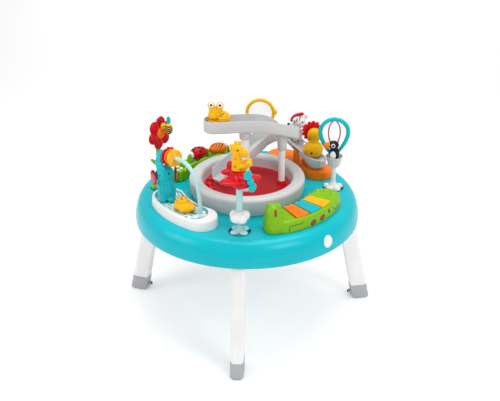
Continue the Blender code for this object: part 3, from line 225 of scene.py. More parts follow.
# darker copy of the green: the fill of the printed leaves, and painted shade at the crocodile's notch and
# along its legs' edges
DEEP_GREEN_PRINT_AND_SHADE = plastic("deep_green_print_and_shade", linear(66, 104, 8), rough=0.45)
BRICK = plastic("brick_plastic", linear(146, 34, 6), rough=0.4)
AQUA = plastic("aqua_plastic", linear(186, 234, 234), clear=0.18, rough=0.2)
CLEAR = plastic("clear_plastic", linear(246, 250, 250), clear=0.92, rough=0.06, wear=0.0)
BLACK = plastic("black_plastic", linear(18, 18, 20), rough=0.35)
STEEL = plastic("steel", linear(196, 197, 200), rough=0.25, coat=0.0, metal=1.0)
PINK = plastic("pink_plastic", linear(214, 84, 104))
MAROON = plastic("maroon_plastic", linear(140, 16, 34))
BLUE = plastic("blue_plastic", linear(40, 110, 170))


# ---------------------------------------------------------------- shapes
def at_z(azimuth):
    """Turn about Z, in degrees."""
    return Matrix.Rotation(math.radians(azimuth), 4, "Z")


def polar(radius, azimuth, height=0.0):
    """Point at a radius and azimuth from the tray's axis."""
    return at_z(azimuth) @ vec(radius, 0.0, height)


def aim(direction, up=UP):
    """Rotation that carries +Z to a direction, keeping +Y as near to up as it can."""
    z_axis = Vector(direction).normalized()
    x_axis = Vector(up).cross(z_axis)
    if x_axis.length < 1e-6:
        x_axis = vec(1.0, 0.0, 0.0)
    x_axis.normalize()
    y_axis = z_axis.cross(x_axis)
    return Matrix((x_axis, y_axis, z_axis)).transposed().to_4x4()


def ball(centre, radii, turn=None):
    """Ball stretched to three radii, in its own turned axes."""
    bm = bmesh.new()
    bmesh.ops.create_uvsphere(bm, u_segments=32, v_segments=20, radius=1.0)
    matrix = Matrix.Translation(centre) @ (turn or Matrix()) @ Matrix.Diagonal((*radii, 1.0))
    bmesh.ops.transform(bm, matrix=matrix, verts=bm.verts)
    return bm


def loft(loops, closed=False):
    """Skin between equal loops; open lofts get flat ends."""
    bm = bmesh.new()
    rows = [[bm.verts.new(point) for point in loop] for loop in loops]
    count = len(rows[0])
    pairs = list(zip(rows, rows[1:])) + ([(rows[-1], rows[0])] if closed else [])
    for lower, upper in pairs:
        for i in range(count):
            j = (i + 1) % count
            bm.faces.new((lower[i], lower[j], upper[j], upper[i]))
    if not closed:
        bm.faces.new(list(reversed(rows[0])))
        bm.faces.new(rows[-1])
    bmesh.ops.recalc_face_normals(bm, faces=bm.faces)
    return bm


def lathe(profile, steps=96, centre=(0.0, 0.0, 0.0), turn=None):
    """Closed solid of revolution of (radius, height) points about its own Z axis."""
    bm = bmesh.new()
    matrix = Matrix.Translation(centre) @ (turn or Matrix())
    columns = []
    for radius, height in profile:
        if radius < 1e-6:
            tip = bm.verts.new(matrix @ vec(0.0, 0.0, height))
            columns.append([tip] * steps)
        else:
            columns.append([bm.verts.new(matrix @ polar(radius, 360 * i / steps, height))
                            for i in range(steps)])
    pairs = list(zip(columns, columns[1:]))
    if profile[0][0] > 1e-6 or profile[-1][0] > 1e-6:
        pairs.append((columns[-1], columns[0]))
    for first, second in pairs:
        for i in range(steps):
            j = (i + 1) % steps
            corners = []
            for corner in (first[i], first[j], second[j], second[i]):
                if corner not in corners:
                    corners.append(corner)
            if len(corners) > 2:
                bm.faces.new(corners)
    bmesh.ops.recalc_face_normals(bm, faces=bm.faces)
    return bm


def rod(start, end, radius, end_radius=None, round_by=RIM_SOFT, steps=48):
    """Round bar with softened rims."""
    start = Vector(start)
    end = Vector(end)
    length = (end - start).length
    last = radius if end_radius is None else end_radius
    soft = min(round_by, length / 3, radius / 3, last / 3)
    profile = [(0.0, 0.0), (radius - soft, 0.0), (radius - soft * 0.3, soft * 0.3), (radius, soft),
               (last, length - soft), (last - soft * 0.3, length - soft * 0.3), (last - soft, length),
               (0.0, length)]
    return lathe(profile, steps, start, aim(end - start))


def post(at, low, high, *sizes, **looks):
    """Upright rod between two heights above a point."""
    return rod(at + UP * low, at + UP * high, *sizes, **looks)


def smooth_path(points, steps):
    """Points along a Catmull-Rom curve through the given ones."""
    path = []
    last = len(points) - 1
    for i in range(last):
        p0 = points[max(i - 1, 0)]
        p1 = points[i]
        p2 = points[i + 1]
        p3 = points[min(i + 2, last)]
        for j in range(steps):
            t = j / steps
            path.append(0.5 * (2 * p1 + (p2 - p0) * t + (2 * p0 - 5 * p1 + 4 * p2 - p3) * t * t
                               + (3 * p1 - p0 - 3 * p2 + p3) * t * t * t))
    path.append(points[last])
    return path


def heading(path, i):
    """Direction of a path at one of its points."""
    return path[min(i + 1, len(path) - 1)] - path[max(i - 1, 0)]


def tube(points, radius, tip=None, sides=20, steps=8):
    """Round bar along a smooth path, narrowing to a tip radius if one is given."""
    path = smooth_path([Vector(p) for p in points], steps)
    loops = []
    for i, point in enumerate(path):
        share = i / (len(path) - 1)
        size = radius if tip is None else radius + (tip - radius) * share
        place = Matrix.Translation(point) @ aim(heading(path, i), up=(0.3, 0.9, 0.2))
        loops.append([place @ polar(size, 360 * k / sides) for k in range(sides)])
    return loft(loops)


def rounded_loop(half_x, half_y, radius, steps=6):
    """Corners of a rounded rectangle about the origin, anticlockwise."""
    points = []
    for sign_x, sign_y, start in ((1, 1, 0), (-1, 1, 90), (-1, -1, 180), (1, -1, 270)):
        for i in range(steps + 1):
            angle = math.radians(start + 90 * i / steps)
            points.append(vec(sign_x * (half_x - radius) + radius * math.cos(angle),
                              sign_y * (half_y - radius) + radius * math.sin(angle), 0.0))
    return points


def block(centre, size, turn=None, edge=0.002):
    """Box with rounded uprights and softened top and bottom edges."""
    matrix = Matrix.Translation(centre) @ (turn or Matrix())
    soft = min(edge, size[2] / 3)
    loops = []
    for inset, height in ((soft, -size[2] / 2), (0.0, -size[2] / 2 + soft), (0.0, size[2] / 2 - soft),
                          (soft, size[2] / 2)):
        outline = rounded_loop(size[0] / 2 - inset * 0.6, size[1] / 2 - inset * 0.6,
                               min(size[0], size[1]) * 0.25, 4)
        loops.append([matrix @ (point + UP * height) for point in outline])
    return loft(loops)


def bent_block(radius_in, radius_out, start, end, low, high, round_end=0.0, edge=0.004, steps=64,
               lean=0.0):
    """Block bent round the tray's axis from one azimuth to another, with a rounded top edge.

    round_end is the length over which each end is rounded, and lean is how far
    each wall leans inward from foot to top.
    """
    middle = (radius_in + radius_out) / 2
    half = (radius_out - radius_in) / 2
    loops = []
    for i in range(steps + 1):
        eased = 0.5 - 0.5 * math.cos(math.pi * i / steps)
        azimuth = start + (end - start) * eased
        distance = min(eased, 1 - eased) * math.radians(abs(end - start)) * middle
        width = half
        if round_end and distance < round_end:
            depth = 1 - distance / round_end
            width = half * math.sqrt(max(1 - depth * depth, 0.02))
        inner = middle - width
        outer = middle + width
        soft = min(edge, width * 0.6)
        quarter = [math.radians(90 * k / 4) for k in range(5)]
        rounds = [(lean + soft * (1 - math.cos(turn)), high - edge + edge * math.sin(turn))
                  for turn in quarter]
        wall = [(0.0, low), (lean * 0.5, (low + high) / 2)] + rounds
        loops.append([polar(inner + inset, azimuth, height) for inset, height in wall]
                     + [polar(outer - inset, azimuth, height) for inset, height in reversed(wall)])
    return loft(loops)


# ---------------------------------------------------------------- joining and adding pieces
def link(made):
    """Put an object in the scene's own collection."""
    bpy.context.scene.collection.objects.link(made)
    return made


def to_object(bm, name="work"):
    """Object in the scene that holds a bmesh, which is used up."""
    mesh = bpy.data.meshes.new(name)
    bm.to_mesh(mesh)
    bm.free()
    return link(bpy.data.objects.new(name, mesh))


def join(shapes):
    """One bmesh holding all the given ones."""
    whole = bmesh.new()
    for shape in shapes:
        mesh = bpy.data.meshes.new("part")
        shape.to_mesh(mesh)
        shape.free()
        whole.from_mesh(mesh)
        bpy.data.meshes.remove(mesh)
    return whole


def baked(source):
    """bmesh of an object with its modifiers applied; the object is used up."""
    depsgraph = bpy.context.evaluated_depsgraph_get()
    mesh = bpy.data.meshes.new_from_object(source.evaluated_get(depsgraph))
    bm = bmesh.new()
    bm.from_mesh(mesh)
    bpy.data.meshes.remove(mesh)
    bpy.data.objects.remove(source, do_unlink=True)
    return bm


def fuse(shapes, voxel=0.0012, smooth=5):
    """Melt overlapping shapes into one smooth skin, of a grain and so many smoothing passes."""
    work = to_object(join(shapes))
    remesh = work.modifiers.new("Remesh", "REMESH")
    remesh.mode = "VOXEL"
    remesh.voxel_size = voxel
    soften = work.modifiers.new("Smooth", "SMOOTH")
    soften.factor = 0.5
    soften.iterations = smooth
    return baked(work)


def cut(bm, cutters):
    """Cut shapes out of a solid."""
    work = to_object(bm)
    knives = [to_object(cutter, "cutter") for cutter in cutters]
    for knife in knives:
        modifier = work.modifiers.new("Cut", "BOOLEAN")
        modifier.operation = "DIFFERENCE"
        modifier.solver = "EXACT"
        modifier.object = knife
    result = baked(work)
    for knife in knives:
        bpy.data.objects.remove(knife, do_unlink=True)
    return result


def slice_off(bm, point, normal):
    """Remove what lies beyond a plane and close the cut."""
    found = bmesh.ops.bisect_plane(bm, geom=bm.verts[:] + bm.edges[:] + bm.faces[:],
                                   plane_co=Vector(point), plane_no=Vector(normal), clear_outer=True)
    rim = [item for item in found["geom_cut"] if isinstance(item, bmesh.types.BMEdge)]
    bmesh.ops.holes_fill(bm, edges=rim)
    bmesh.ops.recalc_face_normals(bm, faces=bm.faces)
    return bm


def add(name, bm, material, body, stands_for=()):
    """Put a finished shape in the scene, riding its CAD body, in place of the named nodes."""
    bmesh.ops.translate(bm, vec=(0.0, TRAY_Y, 0.0), verts=bm.verts)
    made = to_object(bm, name)
    made.data.materials.append(material)
    made.data.shade_smooth()
    made.data.set_sharp_from_angle(angle=SHARP_ANGLE)
    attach(made, body)
    RIDES[name] = body
    if stands_for:
        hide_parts(*stands_for)
    return made


def wrap(name, target, origin, toward, points, faces, material, thick):
    """Lay a flat patch on a piece by throwing its points along a direction.

    Points that miss the piece are left out, with the faces that use them. The patch
    rides the piece's body.
    """
    tree = BVHTree.FromPolygons([vertex.co for vertex in target.data.vertices],
                                [list(face.vertices) for face in target.data.polygons])
    turn = aim(-Vector(toward))
    start = Vector(origin) + vec(0.0, TRAY_Y, 0.0)
    run_up = Vector(toward).normalized() * THROW_FROM
    bm = bmesh.new()
    low = {}
    high = {}
    for i, (x, y) in enumerate(points):
        source = start + turn @ vec(x, y, 0.0) - run_up
        place, normal, _, _ = tree.ray_cast(source, Vector(toward), THROW_REACH)
        if place is not None:
            low[i] = bm.verts.new(place - normal * PATCH_SINK)
            high[i] = bm.verts.new(place + normal * thick)
    open_edges = {}
    for face in faces:
        if any(i not in high for i in face):
            continue
        bm.faces.new([high[i] for i in face])
        bm.faces.new([low[i] for i in reversed(face)])
        for i, j in zip(face, face[1:] + face[:1]):
            if (j, i) in open_edges:
                del open_edges[(j, i)]
            else:
                open_edges[(i, j)] = True
    for i, j in open_edges:
        bm.faces.new((high[j], high[i], low[i], low[j]))
    loose = [vert for vert in bm.verts if not vert.link_faces]
    bmesh.ops.delete(bm, geom=loose, context="VERTS")
    bmesh.ops.translate(bm, vec=(0.0, -TRAY_Y, 0.0), verts=bm.verts)
    return add(name, bm, material, RIDES[target.name])


def spot(name, target, origin, toward, half_x, half_y, material, turn=0.0, thick=PATCH_THICK):
    """Oval patch on a piece."""
    points = [(0.0, 0.0)]
    rings = 4
    sides = 20
    tilt = math.radians(turn)
    for ring in range(1, rings + 1):
        for k in range(sides):
            angle = 2 * math.pi * k / sides
            x = half_x * ring / rings * math.cos(angle)
            y = half_y * ring / rings * math.sin(angle)
            points.append((x * math.cos(tilt) - y * math.sin(tilt),
                           x * math.sin(tilt) + y * math.cos(tilt)))
    faces = [[0, 1 + k, 1 + (k + 1) % sides] for k in range(sides)]
    for ring in range(1, rings):
        base = 1 + (ring - 1) * sides
        for k in range(sides):
            j = (k + 1) % sides
            faces.append([base + k, base + sides + k, base + sides + j, base + j])
    return wrap(name, target, origin, toward, points, faces, material, thick)


def stripe(name, target, origin, toward, line, width, material, thick=PATCH_THICK):
    """Band of even width along a line drawn on a piece, with narrowed ends."""
    path = smooth_path([vec(x, y, 0.0) for x, y in line], 6)
    points = []
    for i, point in enumerate(path):
        along = heading(path, i).normalized()
        side = vec(-along.y, along.x, 0.0)
        end = min(i, len(path) - 1 - i)
        half = width / 2 * (0.45, 0.85, 1.0)[min(end, 2)]
        for share in (-1.0, 0.0, 1.0):
            spread = point + side * half * share
            points.append((spread.x, spread.y))
    faces = []
    for i in range(len(path) - 1):
        for k in range(2):
            a = i * 3 + k
            faces.append([a, a + 3, a + 4, a + 1])
    return wrap(name, target, origin, toward, points, faces, material, thick)


def eye(name, centre, facing, size, body):
    """Bulging white eye with a black pupil."""
    facing = facing.normalized()
    add(name + "_white", ball(centre, (size,) * 3), WHITE, body)
    pupil_at = centre + facing * size * 0.72
    add(name + "_pupil", ball(pupil_at, (size * 0.52, size * 0.52, size * 0.36), aim(facing)), BLACK,
        body)


# ---------------------------------------------------------------- tray, legs, bowl and track
def build_tray():
    """Shell with the stalks' socket cups, the badge and ribs under the skirt."""
    outer = [(0.062, DECK), (0.12, DECK), (0.25, DECK), (0.314, DECK), (0.32, 0.4317), (0.327, 0.4305),
             (0.334, 0.4278), (0.3405, 0.4232), (0.3468, 0.416), (0.3515, 0.4075), (0.355, 0.398),
             (0.3577, 0.386), (0.3594, 0.373), (0.36, 0.362), (0.3598, 0.3556), (0.3588, 0.3541)]
    inner = [(0.3573, 0.354), (0.3568, 0.372), (0.3546, 0.387), (0.349, 0.406), (0.34, 0.419),
             (0.328, 0.4268), (0.3157, 0.429), (0.062, 0.429)]
    shell = lathe(outer + inner, 160)
    holes = [post(at, 0.42, 0.45, SOCKET_HOLE_R) for at in (STEM_AT, BALLOON_AT, FLOWER_AT)]
    holes.append(rod((MIRROR_AT.x, MIRROR_AT.y, 0.42), (MIRROR_AT.x, MIRROR_AT.y, 0.45), 0.008))
    tray = add("tray", cut(shell, holes), TURQUOISE, "table", ["tray_shell"])
    for name, at in (("stem", STEM_AT), ("balloon", BALLOON_AT), ("flower", FLOWER_AT)):
        socket = lathe([(0.0, 0.418), (0.0345, 0.418), (0.035, 0.4288), (0.0339, 0.4288), (0.0334, 0.42),
                        (0.0, 0.42)], 48, at)
        add("socket_" + name, socket, TURQUOISE, "table")
    spot("badge", tray, polar(0.361, BADGE_AZIMUTH, 0.3915), -polar(1.0, BADGE_AZIMUTH), 0.0175, 0.0185,
         WHITE)
    for azimuth in (-148.0, -32.0, 90.0):
        rib = bent_block(0.31, 0.352, azimuth - 0.4, azimuth + 0.4, 0.36, 0.405, steps=8)
        add("tray_rib_%d" % (azimuth % 360), rib, TURQUOISE, "table")


def leg_place(azimuth, height):
    """Frame at a height on a leg's axis, x outward along the radius."""
    radius = FOOT_R - CAP_WALL - (FOOT_R - LEG_TOP_R) / SKIRT_LOW * height - LEG_DEPTH / 2
    return at_z(azimuth) @ Matrix.Translation((radius, 0.0, height))


def leg_shape(azimuth, levels):
    """Leg section, with bevelled outer corners, through (height, growth) levels."""
    loops = []
    half = LEG_DEPTH / 2
    side = [(half, 0.0), (half, 0.0115), (half - 0.0008, 0.0132), (half - 0.01, 0.019),
            (half - 0.0125, 0.0198), (half - 0.016, 0.02), (-half + 0.005, 0.02),
            (-half + 0.002, 0.019), (-half + 0.0005, 0.0165), (-half, 0.0135)]
    outline = side + [(x, -y) for x, y in reversed(side) if y > 0]
    for height, grow in levels:
        section = [vec(x * (1 + grow / half), y * (1 + grow / 0.02), 0.0) for x, y in outline]
        loops.append([leg_place(azimuth, height) @ point for point in section])
    return loft(loops)


def build_legs():
    """Legs, foot caps with their toes and stops, rubber pads and buttons."""
    for side, azimuth in LEG_AZIMUTHS.items():
        levels = [(0.0525, 0.0)] + [(0.06 + 0.03 * k, 0.0) for k in range(12)]
        add("leg_%s_fine" % side, leg_shape(azimuth, levels), WHITE, "table", ["leg_" + side])
        cap = leg_shape(azimuth, [(0.003, 0.0002), (0.0042, 0.0008), (0.006, 0.001), (0.05, 0.001),
                                  (0.0515, 0.0008), (0.052, 0.0003)])
        add("foot_%s_fine" % side, cap, FOOT_GREY, "table", ["foot_" + side])
        toe_at = leg_place(azimuth, 0.02) @ Matrix.Translation((-LEG_DEPTH / 2 - 0.004, 0, 0))
        add("toe_%s" % side, block((0, 0, 0), (0.014, 0.016, 0.01), toe_at), FOOT_GREY, "table")
        disc = toe_at @ vec(-0.0068, 0.0, 0.0)
        inward = toe_at.to_3x3() @ vec(-1.0, 0.0, 0.0)
        add("toe_stop_%s" % side, rod(disc, disc + inward * 0.003, 0.0046), RUBBER, "table")
        pad = leg_shape(azimuth, [(0.0, -0.003), (0.0007, -0.0018), (0.003, -0.0016)])
        add("pad_%s_fine" % side, pad, RUBBER, "table", ["pad_" + side])
        button = leg_place(azimuth, 0.07) @ Matrix.Translation((LEG_DEPTH / 2, 0, 0))
        add("leg_button_%s" % side, block((0, 0, 0), (0.001, 0.009, 0.009), button, 0.0004), WHITE,
            "table")


def build_bowl():
    """Ring, floor with its bumps and mat, and the two posts of the track."""
    ring = [(0.178, 0.4326), (0.18, 0.438), (0.183, 0.46), (0.1848, 0.476), (0.185, 0.4805),
            (0.184, 0.4845), (0.1815, 0.4878), (0.177, 0.49), (0.1715, 0.4911), (0.1672, 0.4914),
            (0.1662, 0.4905), (0.165, 0.4898), (0.1638, 0.4905), (0.1628, 0.4914), (0.1585, 0.4911),
            (0.1535, 0.4901), (0.1495, 0.4882), (0.1465, 0.485), (0.1447, 0.4808), (0.143, 0.465),
            (0.1412, 0.45), (0.1404, 0.449), (0.12, 0.449), (0.12, 0.4465), (0.1438, 0.4465),
            (0.1475, 0.4815), (0.164, 0.488), (0.18, 0.4815), (0.1752, 0.4326)]
    add("bowl_wall", lathe(ring, 160), GREY, "turntable", ["bowl_ring"])
    floor = lathe([(0.0, 0.45), (0.1398, 0.45), (0.1396, 0.4552), (0.1388, 0.456), (0.12, 0.4558),
                   (0.113, 0.4552), (0.0, 0.4552)], 128)
    bumps = [ball(polar(0.1215, azimuth, 0.4545), (0.0135, 0.0135, 0.015))
             for azimuth in (174, 190, 206, 222, 238)]
    boss = [lathe([(0.0, 0.452), (0.0165, 0.452), (0.0152, 0.459), (0.014, 0.469),
                   (0.0132, 0.4697), (0.0, 0.4697)], 48, POST_RIGHT),
            lathe([(0.0, 0.452), (0.02, 0.452), (0.0188, 0.4608), (0.018, 0.4616),
                   (0.0, 0.4616)], 48, POST_LEFT)]
    add("bowl_base", join([floor] + bumps + boss), RED, "turntable", ["bowl_floor"])
    middle = lathe([(0.0, 0.454), (0.111, 0.454), (0.1118, 0.4568), (0.111, 0.4574), (0.109, 0.4575),
                    (0.0, 0.4575)], 128)
    add("bowl_mat", middle, MATTE_RED, "turntable")
    left = lathe([(0.0, 0.4616), (0.015, 0.4616), (0.0148, 0.465), (0.0144, 0.468), (0.0136, 0.644),
                  (0.0, 0.644)], 48, POST_LEFT)
    add("post_left_fine", left, WHITE, "turntable", ["post_left"])
    right = lathe([(0.0, 0.4698), (0.0107, 0.4698), (0.0104, 0.474), (0.01, 0.584), (0.0, 0.584)], 48,
                  POST_RIGHT)
    add("post_right_fine", right, WHITE, "turntable", ["post_right"])


def track_path():
    """Points down the middle of the track, and the level direction across it at each."""
    path = smooth_path(TRACK_POINTS, TRACK_STEPS)
    across = []
    for i in range(len(path)):
        along = heading(path, i)
        across.append(vec(along.y, -along.x, 0.0).normalized())
    return path, across


def trough_section():
    """Half outline of the track's wall: (offset, height) from its outer foot to its inner one."""
    outer = TRACK_HALF
    inner = TRACK_HALF - TRACK_WALL
    return [(outer - 0.006, 0.0), (outer - 0.003, 0.0007), (outer - 0.0009, 0.0028),
            (outer, 0.006), (outer, TRACK_HEIGHT - 0.0012), (outer - 0.0004, TRACK_HEIGHT - 0.0003),
            (outer - 0.0013, TRACK_HEIGHT), (inner + 0.0003, TRACK_HEIGHT - 0.0003),
            (inner, TRACK_HEIGHT - 0.0012), (inner, TRACK_FLOOR + 0.005),
            (inner - 0.0015, TRACK_FLOOR + 0.0015), (inner - 0.005, TRACK_FLOOR)]


def channel(first, last):
    """Stretch of the track from one path point to another."""
    path, across = track_path()
    half = trough_section()
    mirrored = [(-offset, height) for offset, height in reversed(half)]
    section = half + mirrored
    return loft([[path[i] + across[i] * offset + UP * height for offset, height in section]
                 for i in range(first, last + 1)])


def build_track():
    """Upper track with its round end, collar and bracket, and the lower track."""
    path, _ = track_path()
    split = TRACK_STEPS * TRACK_SPLIT
    cup = lathe([(0.0, 0.0)] + trough_section() + [(0.0, TRACK_FLOOR)], 64, path[0])
    slice_off(cup, path[0], (path[1] - path[0]).normalized())
    collar = cut(lathe([(0.0, 0.637), (0.0168, 0.637), (0.0172, 0.6376), (0.0185, 0.666), (0.0, 0.6662)],
                       48, POST_LEFT), [post(POST_LEFT, 0.63, 0.6443, 0.0149)])
    near = min(range(1, len(path) - 1), key=lambda i: (path[i].xy - POST_RIGHT.xy).length)
    along = path[near + 1] - path[near - 1]
    loops = []
    for share, width in ((0.0, 0.0118), (0.012, 0.0122), (0.5, 0.0132), (1.0, 0.015)):
        loop = []
        for corner in rounded_loop(width, width - 0.001, 0.005):
            point = at_z(BRACKET_TURN) @ corner + POST_RIGHT
            travel = (point.xy - path[near].xy).dot(along.xy) / along.xy.length_squared
            top = path[near].z + along.z * travel + 0.0015
            loop.append(vec(point.x, point.y, BRACKET_LOW + (top - BRACKET_LOW) * share))
        loops.append(loop)
    bracket = cut(loft(loops), [post(POST_RIGHT, 0.57, 0.5843, 0.0109)])
    upper = join([channel(0, split), cup, collar, bracket])
    add("track_upper_fine", upper, GREY, "turntable", ["track_upper"])
    add("track_lower_fine", channel(split, len(path) - 1), GREY, "turntable", ["track_lower"])
    outward = at_z(BRACKET_TURN) @ vec(0.0, -1.0, 0.0)
    plug = POST_RIGHT + at_z(BRACKET_TURN) @ vec(-0.002, -0.0122, 0.0) + UP * 0.592
    add("bracket_plug", rod(plug - outward * 0.002, plug + outward * 0.001, 0.0038), WHITE, "turntable")
    add("bracket_screw", rod(plug, plug + outward * 0.0014, 0.0018), STEEL, "turntable")


# ---------------------------------------------------------------- snail and plane
def build_snail():
    along = (TRACK_POINTS[1] - TRACK_POINTS[0]).normalized()
    turn = aim(along)
    centre = TRACK_POINTS[0] + along * 0.016 + UP * 0.0258
    shapes = [ball(centre, (0.025, 0.0213, 0.035), turn),
              ball(centre + along * 0.01 + UP * 0.016, (0.0245, 0.023, 0.0265), turn),
              ball(centre - along * 0.013 + UP * 0.027, (0.02, 0.019, 0.019)),
              ball(centre - along * 0.01 + UP * 0.04 + vec(0.002, -0.003, 0), (0.0175, 0.014, 0.012)),
              ball(centre - along * 0.006 + UP * 0.028 + vec(0, -0.004, 0), (0.022, 0.016, 0.013))]
    tops = []
    for offset in (-0.004, 0.0225):
        top = centre - along * 0.018 + vec(offset, -0.006, 0.061)
        root = centre - along * 0.012 + vec(offset * 0.5, -0.002, 0.034)
        shapes.append(rod(root, top, 0.0125, 0.01))
        shapes.append(ball(top, (0.0112, 0.0105, 0.011)))
        tops.append(top)
    snail = add("snail_skin", fuse(shapes), YELLOW, "snail", ["snail"])
    facing = vec(0.1, -0.93, 0.36)
    for i, top in enumerate(tops):
        eye("snail_eye_%d" % i, top + facing * 0.005, facing, 0.008, "snail")
    face = centre - along * 0.01 + UP * 0.019
    stripe("snail_smile", snail, face, BACK, [(-0.009, 0.002), (-0.002, -0.002), (0.006, -0.001),
                                              (0.01, 0.004)], 0.002, BLACK)
    fold = centre + along * 0.013 + UP * 0.035
    stripe("snail_fold", snail, fold, BACK, [(-0.01, -0.003), (0.0, -0.002), (0.008, 0.004)], 0.0018,
           BLACK)
    for i in range(3):
        ring = centre + along * 0.006 + UP * (0.03 - 0.008 * i)
        stripe("snail_ring_%d" % i, snail, ring, BACK,
               [(-0.016, 0.004), (-0.004, -0.001), (0.012, -0.002), (0.024, 0.002)], 0.0014, HONEY)


def build_stalk(name, at, lobes, reach, high, turn, material, stands_for, top):
    """Lobed base with its stalk parts, melted together."""
    shapes = [post(at, DECK - 0.01, high, reach * 0.5)]
    for i in range(lobes):
        angle = turn + 360 * i / lobes
        lobe = at + polar(reach * 0.62, angle)
        shapes.append(post(lobe, DECK + 0.0004, high - 0.0008, reach * 0.38, reach * 0.3, round_by=0.002))
    return add(name, fuse(shapes + top, 0.0011, 4), material, "table", stands_for)


def build_plane_stem():
    """Translucent stalk and the cloud that rolls on it."""
    foot = [post(STEM_AT, DECK + 0.005, 0.452, 0.0105, 0.0085), post(STEM_AT, 0.44, 0.574, 0.0038),
            post(STEM_AT, 0.5025, 0.574, 0.0095, 0.01)]
    build_stalk("plane_stalk", STEM_AT, 4, 0.033, DECK + 0.0075, 42, AQUA, ["plane_stem"], foot)
    puffs = [ball(STEM_AT + UP * 0.478, (0.0235, 0.0215, 0.0205))]
    for i in range(5):
        angle = 72 * i - 60
        lift = 0.4795 + 0.006 * math.sin(2.3 * i)
        puffs.append(ball(STEM_AT + polar(0.015, angle, lift), (0.0165, 0.0165, 0.0155)))
    skin = fuse(puffs, 0.0011, 3)
    slice_off(skin, (0, 0, 0.5017), (0, 0, 1))
    slice_off(skin, (0, 0, 0.4528), DOWN)
    add("cloud_skin", skin, WHITE, "cloud", ["cloud"])


def build_plane():
    """Plane and propeller."""
    middle = (PLANE_NOSE + PLANE_TAIL) / 2
    turn = aim(PLANE_AXIS) @ at_z(-7)
    tail_at = PLANE_TAIL + PLANE_AXIS * 0.008
    wing_at = middle + PLANE_AXIS * 0.004 - UP * 0.012
    shapes = [
        ball(middle - UP * 0.009, (0.0275, 0.0285, 0.046), turn),
        rod(PLANE_NOSE - PLANE_AXIS * 0.034, PLANE_NOSE - PLANE_AXIS * 0.0085, 0.0225, 0.016,
            round_by=0.003),
        ball(wing_at, (0.0745, 0.01, 0.029), turn),
        ball(tail_at + UP * 0.011, (0.008, 0.019, 0.015), turn),
        ball(tail_at - UP * 0.003, (0.0315, 0.0105, 0.0155), turn),
        ball((STEM_AT.x + 0.005, STEM_AT.y - 0.004, 0.591), (0.03, 0.023, 0.015)),
        post(STEM_AT, 0.5755, 0.6, 0.013, round_by=0.002)]
    plane = add("plane_skin", fuse(shapes, 0.0013, 4), RED, "plane", ["plane"])
    for i, (shift, lift) in enumerate(((-0.022, 0.006), (0.0, 0.002))):
        stripe("plane_line_%d" % i, plane, middle - PLANE_AXIS * shift, (-0.66, 0.75, 0.0),
               [(-0.018, -0.01 + lift), (0.0, -0.015 + lift), (0.018, -0.01 + lift)], 0.0018, MAROON)
    lean = vec(-0.5, 0.0, 1.0)
    direction = (lean - PLANE_AXIS * PLANE_AXIS.dot(lean)).normalized()
    hub = PLANE_NOSE - PLANE_AXIS * 0.003
    blades = []
    for sign in (-1, 1):
        at = hub + direction * (0.023 * sign)
        blades.append(ball(at, (0.0145, 0.0145, 0.0045), aim(PLANE_AXIS)))
    blades.append(ball(hub + PLANE_AXIS * 0.001, (0.0108, 0.0108, 0.007), aim(PLANE_AXIS)))
    blades.append(rod(hub - PLANE_AXIS * 0.016, hub, 0.0026))
    add("propeller_skin", fuse(blades, 0.0008, 4), TURQUOISE, "propeller", ["propeller"])


def build_giraffe():
    base = COCKPIT + UP * 0.0004
    neck = loft([[vec(p.x + base.x + shift, p.y + base.y, height)
                  for p in rounded_loop(half_x, half_y, min(half_x, half_y) * 0.8)]
                 for half_x, half_y, shift, height in (
                     (0.0235, 0.0185, 0.0045, base.z), (0.0222, 0.018, 0.0035, 0.632),
                     (0.0175, 0.016, -0.0005, 0.645), (0.014, 0.0135, -0.004, 0.657),
                     (0.012, 0.012, -0.006, 0.672), (0.011, 0.0105, -0.006, 0.69))])
    head_at = vec(-0.008, -0.249, 0.686)
    tilt = Matrix.Rotation(math.radians(20), 4, "Y")
    shapes = [neck, ball(head_at + vec(0.001, 0, 0.001), (0.0185, 0.014, 0.015)),
              ball(head_at + vec(0.016, -0.002, -0.008), (0.0185, 0.0125, 0.012), tilt),
              ball(head_at + vec(0.023, -0.002, -0.013), (0.011, 0.0118, 0.01)),
              ball(vec(0.012, -0.264, 0.641), (0.0165, 0.0085, 0.0085),
                   Matrix.Rotation(math.radians(-22), 4, "Y")),
              ball(vec(0.0255, -0.264, 0.649), (0.0112, 0.0088, 0.0102)),
              ball(vec(0.02, -0.238, 0.645), (0.014, 0.008, 0.008),
                   Matrix.Rotation(math.radians(-22), 4, "Y"))]
    for shift in (-0.0045, 0.005):
        root = head_at + vec(shift, 0.002, 0.008)
        tip = head_at + vec(shift * 1.2, 0.002, 0.0225)
        shapes += [rod(root, tip, 0.004, 0.0042), ball(tip, (0.0052, 0.005, 0.0046))]
    for side in (-0.006, 0.008):
        shapes.append(ball(head_at + vec(-0.0165, side, 0.009), (0.008, 0.005, 0.0052)))
    skin = fuse(shapes, 0.001, 4)
    slice_off(skin, (0, 0, base.z), DOWN)
    giraffe = add("giraffe_skin", skin, YELLOW, "plane", ["giraffe"])
    spot("giraffe_eye", giraffe, head_at + vec(0.002, 0, 0.003), BACK, 0.0024, 0.0028, BLACK)
    for i, (x, z, size) in enumerate(((-0.014, 0.64, 0.004), (0.004, 0.632, 0.004),
                                      (-0.013, 0.663, 0.0028))):
        spot("giraffe_spot_%d" % i, giraffe, (x, -0.25, z), BACK, size, size * 0.8, HONEY, turn=25 * i)
    spot("giraffe_nostril", giraffe, head_at + vec(0.027, 0, -0.008), BACK, 0.0013, 0.0013, HONEY)
    stripe("giraffe_smile", giraffe, head_at + vec(0.019, 0, -0.016), BACK,
           [(-0.008, 0.001), (0.0, -0.002), (0.008, 0.001)], 0.0012, HONEY)


